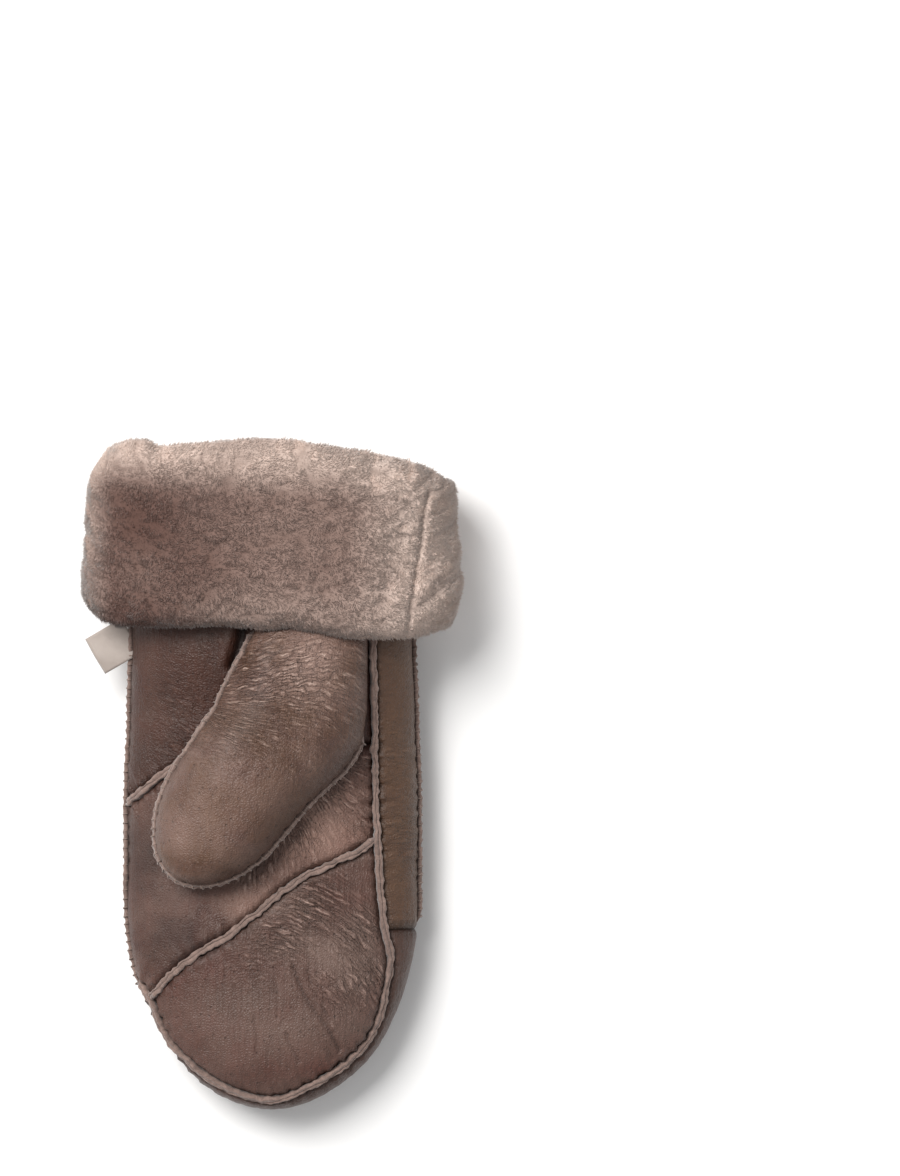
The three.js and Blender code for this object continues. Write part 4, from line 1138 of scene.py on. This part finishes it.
# closed thin tubes along the loops, joined in one mesh
def threadMesh(loops):
    steps, sides = stitch["steps"], stitch["sides"]
    template = toMesh(layGrid(sides, steps - 1), "thread")
    u, v = gridPlaces(sides, steps - 1)
    whole = bmesh.new()
    for loop in loops:
        along = unit(np.gradient(loop, axis=0))
        first = unit(np.cross(along, along[0] * 0 + [0.31, 0.52, 0.79]))
        second = np.cross(along, first)
        i = np.rint(v * (steps - 1)).astype(int)
        turn = 2 * math.pi * u
        radius = stitch["thread"] * np.where((i == 0) | (i == steps - 1), 0.55, 1.0)
        ring = first[i] * np.cos(turn)[:, None] + second[i] * np.sin(turn)[:, None]
        setPoints(template, loop[i] + ring * radius[:, None])
        whole.from_mesh(template)
    mesh = closeMesh(fillEnds(whole), bpy.data.meshes.new("threads"), outward=True)
    setShade(mesh, "tip", np.full(len(mesh.vertices), 0.9))
    return mesh


# given here because the raised edges run on under its hem
cuff = dict(
    width=154, thickness=63, taper=3, hem=58, roundness=2.6, middle=0.46, ease=1, slack=8,
    columns=216, rows=120, clump=0.75, swell=0.8, hides=8,
)
hemHides = cuff["hem"] + cuff["hides"]


def shown(name, lowest=-1e3, highest=hemHides):
    points, outs = seams[name]
    keep = (points[:, 1] < highest) & (points[:, 1] > lowest)
    return points[keep], outs[keep]


# a seam up to where it runs under the thumb
def clearOfThumb(points, outs):
    under = inside(thumbOutline(first=0.0, last=1.9, count=40, inset=8), points[:, 0], points[:, 1])
    stop = int(np.argmax(under)) if under.any() else len(points)
    return points[:stop], outs[:stop]


raised = dict(low=-2.3, high=0.8, width=2.8, taper=2.5, stub=0.25)
pressed = dict(low=-2.3, high=-0.25, width=3.6, taper=2.5, stub=0.25)
beside = dict(low=-0.7, high=1.5, width=2.4, taper=7, stub=0)
edgeTable = [
    ("palm_seam_edge", raised, shown("palm")),
    ("thumb_seam_edge", beside, shown("thumb")),
    ("left_side_seam_edge", beside, shown("left", lowest=seams["palm"][0][-1, 1] - 4)),
    ("right_side_seam_edge", beside, shown("right")),
    ("palm_diagonal_seam_edge", raised, shown("diagonal")),
    ("palm_cross_seam_edge", raised, clearOfThumb(*shown("cross"))),
    ("back_centre_seam_edge", pressed, shown("backCentre")),
    ("back_side_seam_edge", pressed, shown("backSide")),
]
threads = []
for number, (node, form, (points, outs)) in enumerate(edgeTable):
    addPiece(node + "_lips", edgeMesh(points, outs, seed=50 + 7 * number, **form), rawEdge, [node])
    if form is beside:
        threads += threadLoops(points, outs, **form)
addPiece("seam_stitches", threadMesh(threads), threadStuff, [])
print("seam edges made:", len(threads), "stitches")


# outline of the fold and of the hem across the palm side, read along x
foldLine = np.array([
    (-77, 118), (-74, 123.5), (-70, 127.5), (-63, 131.8), (-54, 134.4), (-50, 134.2), (-45, 131.9), (-34, 132.2),
    (-20, 133.4), (-4, 134.6), (10, 133.6), (22, 131.4), (38, 129), (51, 126.8), (60, 123.4), (68, 120.3),
    (77, 118),
])
hemLine = np.array([
    (-77, 69.5), (-72, 66), (-63, 61.4), (-50, 59.8), (-39, 59.8), (-14, 60), (0, 59.2), (6, 60.2), (15, 58.6),
    (28, 56.4), (44, 55.6), (57, 56), (65, 57.8), (73, 61.6), (77, 69),
])
# across the flap: depth 0 bore, 1 sleeve, 2 outer face; along 0 hem, 1 wrist end, 2 fold
cuffRows = np.array([
    (1.25, 0.0), (1.0, 0.07), (1.0, 0.5), (1.0, 1.0), (0.0, 1.0), (0.0, 1.5), (0.3, 1.84), (0.85, 2.0),
    (1.4, 1.95), (1.83, 1.68), (2.0, 1.2), (2.0, 0.8), (2.0, 0.5), (2.0, 0.22), (1.9, 0.05), (1.6, -0.03),
])
foldCurve, hemCurve = (throughPoints(line.astype(float), 0.8) for line in (foldLine, hemLine))


def cuffSection(y, depth):
    s = handSection(np.minimum(y, hand["wristEnd"]))
    nearHem = np.clip((hand["wristEnd"] - y) / (hand["wristEnd"] - cuff["hem"]), 0, 1)
    ease, zero = cuff["ease"], 0 * y
    bore = (s["half"] - hand["hide"], s["seamZ"] + s["rise"] - hand["hide"], s["floor"] + hand["hide"], zero)
    sleeve = (s["half"] + ease + cuff["slack"] * nearHem, s["seamZ"] + s["rise"] + ease, s["floor"] - ease,
              zero + hand["backSag"])
    outer = (cuff["width"] / 2 - cuff["taper"] * (1 - nearHem), zero + cuff["thickness"], zero,
             zero + hand["backSag"])
    inner = np.clip(depth, 0, 1)
    beyond = np.clip(depth - 1, 0, 1)
    return [mix(mix(a, b, inner), mix(b, c, beyond), (depth >= 1) * 1.0)
            for a, b, c in zip(bore, sleeve, outer)]


def cuffPoint(angle, depth, along):
    across, up = (np.sign(v) * np.abs(v) ** (2 / cuff["roundness"]) for v in (np.cos(angle), np.sin(angle)))
    wrist = hand["wristEnd"] + 0.4
    half = cuff["width"] / 2
    for _ in range(2):
        x = across * half
        hem, fold = np.interp(x, *hemCurve.T), np.interp(x, *foldCurve.T)
        y = np.where(along < 1, mix(hem, wrist, along), mix(wrist, fold, along - 1))
        half, top, low, sag = cuffSection(y, depth)
    middle = mix(low, top, cuff["middle"])
    z = middle + up * np.where(up > 0, top - middle, middle - low + sag)
    return np.stack([across * half, y, np.maximum(low, z)], -1)


def cuffMesh():
    columns, rows = cuff["columns"], cuff["rows"]
    closed = np.vstack([cuffRows, cuffRows[:1]])
    profile = evenly(throughPoints(closed * [14, 50], 0.4), 1.0) / [14, 50]
    at = np.linspace(0, len(profile) - 1, rows + 1)
    mesh = toMesh(layGrid(columns, rows), "cuff")
    u, v = gridPlaces(columns, rows)
    place = np.interp(v * rows, np.arange(rows + 1), at)
    depth = np.interp(place, np.arange(len(profile)), profile[:, 0])
    along = np.interp(place, np.arange(len(profile)), profile[:, 1])
    setPoints(mesh, cuffPoint(2 * math.pi * u, np.clip(depth, 0, 2), along))
    setShade(mesh, "depth", depth)
    return mergeClose(mesh, 0.05, outward=True)


# clumps of the fleece, from 0 to 1, with a few long partings
def pileHeight(x, y, z):
    a, b = x + 0.4 * z, y + 0.5 * z
    clump = 0.5 * softNoise(a / 5.2, b / 3.4, 71) + 0.25 * softNoise(a / 2.4 + 5, b / 1.9, 72)
    clump = clump + 0.25 * softNoise(a / 10, b / 7, 73)
    parting = ridges(a / 10 + 3, b / 5, 74) ** 1.8 * smooth((softNoise(a / 7, b / 6, 75) - 0.5) * 5)
    longer = ridges(a / 24 + 3, b / 11, 76) ** 3 * smooth((softNoise(a / 16, b / 16, 78) - 0.42) * 5)
    return clump, np.maximum(parting, longer)


cuffSeam = np.array([(63.5, 113), (61, 102), (59.3, 88), (57.7, 77.5), (56, 66.8), (54.2, 55)])


# painted light with some of the pile's own tone: paler along the fold, on the thumb side, near the hem and at the
# far end; redder to the other side
def fleeceToneAndLight(x, y):
    light = 0.8 * smooth((y - 108 + 0.05 * x) / 20) + 1.1 * smooth((x - 26) / 38)
    light += 0.25 * smooth((84 - y) / 26) * smooth((x + 60) / 60)
    light += 0.45 * smooth((-62 - x) / 12)
    warm = smooth((20 - x) / 70) * (0.5 + 0.5 * softNoise(x / 26, y / 20, 77))
    light *= 0.85 + 0.3 * softNoise(x / 12, y / 8, 78)
    return np.clip(light, 0, 1), np.clip(warm, 0, 1)


def cuffDress(mesh):
    points, normals = getPoints(mesh), getNormals(mesh)
    x, y, z = points.T
    depth = readShade(mesh, "depth")
    outer = smooth((depth - 1.15) * 2.5) + smooth((y - 114) / 6) * (depth < 1.2)
    outer = np.clip(outer, 0, 1)
    clump, parting = pileHeight(x, y, z)
    swell = (softNoise(x / 24 + 2, y / 20, 79) - 0.5) * cuff["swell"] * 2
    seamLine = np.where(z > 26, lineDistance(cuffSeam, x, y), 9)
    groove = 1.2 * np.exp(-(seamLine / 0.9) ** 2)
    lift = outer * (cuff["clump"] * (clump - 0.75) * 2.2 - 0.35 * parting + swell - 0.7 - groove)
    points = points + normals * lift[:, None]
    points[:, 2] = np.maximum(points[:, 2], 0.03)
    setPoints(mesh, points)
    light, warm = fleeceToneAndLight(x, y)
    # painted shade: darker in the partings and in the seam groove, with the clumps varying the tone
    tip = 0.35 + 0.5 * clump - 0.6 * parting - 0.6 * np.exp(-(seamLine / 0.9) ** 2)
    setShade(mesh, "tip", np.clip(tip, 0, 1))
    # painted light, partly the pile's own tone
    setShade(mesh, "light", light)
    setShade(mesh, "warm", warm)
    return outer


tuft = dict(radius=0.32, length=2.0, lean=0.9, top=94000, rest=25000)


# a pointed tuft with three sides, closed at the root
def tuftTemplate():
    bm = bmesh.new()
    bmesh.ops.create_cone(bm, cap_ends=True, segments=3, radius1=1, radius2=0, depth=1)
    bmesh.ops.remove_doubles(bm, verts=bm.verts, dist=0.001)
    for vertex in bm.verts:
        vertex.co.z += 0.5
    return toMesh(bm, "tuft")


# random places on a mesh's triangles with the normal there
def scatter(mesh, weight, count):
    mesh.calc_loop_triangles()
    corners = np.empty(len(mesh.loop_triangles) * 3, np.int32)
    mesh.loop_triangles.foreach_get("vertices", corners)
    corners = corners.reshape(-1, 3)
    points, normals = getPoints(mesh), getNormals(mesh)
    a, b, c = (points[corners[:, k]] for k in range(3))
    area = np.linalg.norm(np.cross(b - a, c - a), axis=1) * weight[corners].mean(1)
    chosen = rng.choice(len(corners), count, p=area / area.sum())
    s, t = rng.random((2, count))
    flip = s + t > 1
    s, t = np.where(flip, 1 - s, s), np.where(flip, 1 - t, t)
    at = a[chosen] + (b[chosen] - a[chosen]) * s[:, None] + (c[chosen] - a[chosen]) * t[:, None]
    return at, unit(normals[corners[chosen]].mean(1))


# tufts that lean together in clumps, joined in one piece
def growTufts(at, normal, name, material):
    template = tuftTemplate()
    shape = getPoints(template)
    triangles = np.array([tuple(p.vertices) for p in template.polygons])
    x, y, z = at.T
    clump, parting = pileHeight(x, y, z)
    turn = -0.6 + 3.4 * (softNoise(x / 6 + 1, y / 4 + z / 6, 81) - 0.5)
    turn = turn + 2.2 * (softNoise(x / 2.4, y / 2 + z / 3, 82) - 0.5)
    lean = np.stack([np.cos(turn), 0.6 * np.sin(turn), 0.4 * np.sin(turn * 1.7)], -1)
    lean -= normal * (lean * normal).sum(1, keepdims=True)
    out = unit(normal + unit(lean) * tuft["lean"] * rng.uniform(0.5, 1.3, len(x))[:, None])
    first = unit(np.cross(out, rng.normal(size=out.shape)))
    second = np.cross(out, first)
    radius = tuft["radius"] * rng.uniform(0.65, 1.3, len(x))
    length = tuft["length"] * rng.uniform(0.6, 1.15, len(x)) * (0.8 + 0.35 * clump) * (1 - 0.5 * parting)
    length *= 1.3 - 0.4 * np.abs(normal[:, 2])
    h = shape[:, 2]
    points = (at - normal * 0.5)[:, None] + out[:, None] * (h[:, None] * length[:, None, None])
    points += first[:, None] * (shape[:, 0, None] * radius[:, None, None])
    points += second[:, None] * (shape[:, 1, None] * radius[:, None, None])
    points[..., 2] = np.maximum(points[..., 2], 0.02)
    count, each = len(x), len(shape)
    faces = (triangles[None] + each * np.arange(count)[:, None, None]).reshape(-1, 3)
    mesh = bpy.data.meshes.new(name)
    mesh.vertices.add(count * each)
    mesh.loops.add(len(faces) * 3)
    mesh.polygons.add(len(faces))
    mesh.loops.foreach_set("vertex_index", faces.astype(np.int32).ravel())
    mesh.polygons.foreach_set("loop_start", np.arange(0, 3 * len(faces), 3, dtype=np.int32))
    mesh.update(calc_edges=True)
    setPoints(mesh, points.reshape(-1, 3))
    light, warm = fleeceToneAndLight(x, y)
    # painted shade: darker towards the root of each tuft and in the partings; the clumps and a random step vary it
    tipShade = np.clip(0.3 + 0.7 * h[None] * (0.75 + 0.45 * clump[:, None]) - 0.8 * parting[:, None]
                       + rng.uniform(-0.06, 0.06, (count, 1)), 0, 1)
    setShade(mesh, "tip", tipShade.ravel())
    # painted light, as on the hide under the tufts
    setShade(mesh, "light", np.repeat(np.clip(light + rng.uniform(-0.1, 0.1, count), 0, 1), each))
    setShade(mesh, "warm", np.repeat(warm, each))
    addPiece(name, mesh, material, [])


cuffSheet = cuffMesh()
outer = cuffDress(cuffSheet)
cuffPoints = getPoints(cuffSheet)
facingUp = getNormals(cuffSheet)[:, 2]
onTop = smooth((facingUp + 0.1) * 3) * outer
fromSeam = lineDistance(cuffSeam, cuffPoints[:, 0], cuffPoints[:, 1])
seamKeep = np.where(cuffPoints[:, 2] > 26, smooth(fromSeam / 1.2), 1)
growth = [
    ("cuff_pile_top_left", onTop * seamKeep * (cuffPoints[:, 0] < 0), tuft["top"] // 2),
    ("cuff_pile_top_right", onTop * seamKeep * (cuffPoints[:, 0] >= 0), tuft["top"] // 2),
    ("cuff_pile_under", (1 - smooth((facingUp + 0.1) * 3)) * outer, tuft["rest"]),
]
for name, weight, count in growth:
    at, normal = scatter(cuffSheet, weight, count)
    growTufts(at, normal, name, fleeceStuff)
addPiece("cuff_hide", cuffSheet, fleeceStuff, ["cuff"])
print("cuff made")


lining = dict(columns=72, rows=80, inset=5.6, wall=1.6)


def liningMesh():
    columns, rows, inset = lining["columns"], lining["rows"], lining["inset"]
    mesh = toMesh(layGrid(columns, rows), "lining")
    u, v = gridPlaces(columns, rows)
    last = hand["lowest"] + inset + 0.3
    y = mix(hand["wristEnd"] + 1.5, last, v)
    s = handSection(y, inset)
    angle = 2 * math.pi * u
    x = s["half"] * np.cos(angle)
    z = np.where(np.sin(angle) >= 0, palmZ(x, y, inset), backZ(x, y, inset))
    setPoints(mesh, np.stack([x, y, z], -1))
    mesh = mergeClose(mesh, 0.05)
    centres = faceCentres(mesh)
    away = np.nonzero(underThumb(centres) & (centres[:, 2] > handSection(centres[:, 1])["seamZ"] + 4))[0]
    closeMesh(openMesh(mesh, away), mesh, outward=True)
    points, normals = getPoints(mesh), getNormals(mesh)
    if ((points - points.mean(0)) * normals)[:, 2].mean() > 0:
        mesh.flip_normals()
        normals = -normals
    x, y, z = points.T
    setPoints(mesh, points + normals * (softNoise(x / 5, y / 4 + z / 5, 91) * 1.2)[:, None])
    setShade(mesh, "tip", 0.4 + 0.5 * softNoise(x / 3, y / 3 + z / 4, 92))
    setShade(mesh, "light", np.full(len(x), 0.2))
    setShade(mesh, "warm", fleeceToneAndLight(x, y)[1])
    return mesh


addPiece("fleece_lining", liningMesh(), liningStuff, [], wall=lining["wall"])
print("lining made")


ribbon = dict(
    width=16, reach=17, wall=0.45, gap=0.35, tilt=30, droop=8, x=-56.4, y=55.6, z=24.0, columns=18, rows=44,
)


# a ribbon folded over: out along the lower layer, round the fold and back
def labelMesh():
    columns, rows, reach = ribbon["columns"], ribbon["rows"], ribbon["reach"]
    mesh = toMesh(layGrid(columns, rows), "label")
    u, v = gridPlaces(columns, rows)
    path = v * 2 * reach
    bend = ribbon["gap"] / 2 + ribbon["wall"] / 2
    turned = np.clip((path - reach) / (math.pi * bend) + 0.5, 0, 1) * math.pi
    layer = np.where(path < reach, path, 2 * reach - path)
    out = np.minimum(layer, reach - bend) + bend * np.sin(turned)
    height = bend - bend * np.cos(turned)
    wide = (u - 0.5) * ribbon["width"]
    height = height + 0.9 * (out / reach) ** 2 * np.sin(u * 2.6 + 0.4) + 0.25 * np.sin(u * 7 + out / 4)
    droop, tilt = math.radians(ribbon["droop"]), math.radians(180 + ribbon["tilt"])
    ox = out * math.cos(droop) + height * math.sin(droop)
    oz = -out * math.sin(droop) + height * math.cos(droop)
    x = ribbon["x"] + ox * math.cos(tilt) - wide * math.sin(tilt)
    y = ribbon["y"] + ox * math.sin(tilt) + wide * math.cos(tilt)
    setPoints(mesh, np.stack([x, y, ribbon["z"] + oz], -1))
    setFlow(mesh, np.stack([wide, path], -1))
    return closeMesh(openMesh(mesh), mesh, outward=True)


label = addPiece("label_ribbon", labelMesh(), satin, ["label"], wall=ribbon["wall"] * 0.6, offset=0.0)
print("label made")


# the view's middle and the frame's height are in mm at level above the floor, the camera's height is in metres
studio = dict(
    view=(71.2, 74.6), height=2.9, frameHeight=470.4, level=30, sensor=24, key=72.0, fill=3.0, world=0.46,
)


def makeFloor():
    floor = bpy.data.objects.new("floor", toMesh(layGrid(4, 4, size=6), "floor"))
    bpy.context.scene.collection.objects.link(floor)
    floor.location.z = -0.0002
    material, tree, shader = startMaterial("paper")
    place = objectPlace(tree)
    fine = noiseAt(tree, place, 40.0, 3.0)
    tint = blendColour(tree, fine, colour(243, 243, 243), colour(246, 246, 246))
    tree.links.new(tint, shader.inputs["Base Color"])
    shader.inputs["Roughness"].default_value = 0.95
    floor.data.materials.append(material)


def makeLight(name, place, aim, size, power, tint):
    light = bpy.data.lights.new(name, "AREA")
    light.shape = "SQUARE"
    light.size, light.energy, light.color = size, power, tint
    made = bpy.data.objects.new(name, light)
    made.location = place
    direction = np.array(aim) - np.array(place)
    made.rotation_euler = Vector(direction).to_track_quat("-Z", "Y").to_euler()
    bpy.context.scene.collection.objects.link(made)


makeFloor()
makeLight("key", (-0.95, 1.0, 1.95), (0.02, 0.02, 0), 1.3, studio["key"], (1.0, 0.985, 0.965))
makeLight("fill", (1.6, -0.9, 1.5), (0.02, 0.0, 0), 1.8, studio["fill"], (0.97, 0.985, 1.0))
world = bpy.data.worlds.new("studio")
bpy.context.scene.world = world
world.use_nodes = True
background = world.node_tree.nodes["Background"]
background.inputs["Color"].default_value = (1, 1, 1, 1)
background.inputs["Strength"].default_value = studio["world"]

lens = bpy.data.cameras.new("camera")
lens.sensor_fit = "VERTICAL"
lens.sensor_height = studio["sensor"]
lens.lens = studio["sensor"] * (studio["height"] / mm - studio["level"]) / studio["frameHeight"]
lens.clip_start, lens.clip_end = 0.1, 20
camera = bpy.data.objects.new("camera", lens)
camera.location = (studio["view"][0] * mm, studio["view"][1] * mm, studio["height"])
bpy.context.scene.collection.objects.link(camera)
bpy.context.scene.camera = camera
bpy.context.scene.view_settings.view_transform = "Standard"
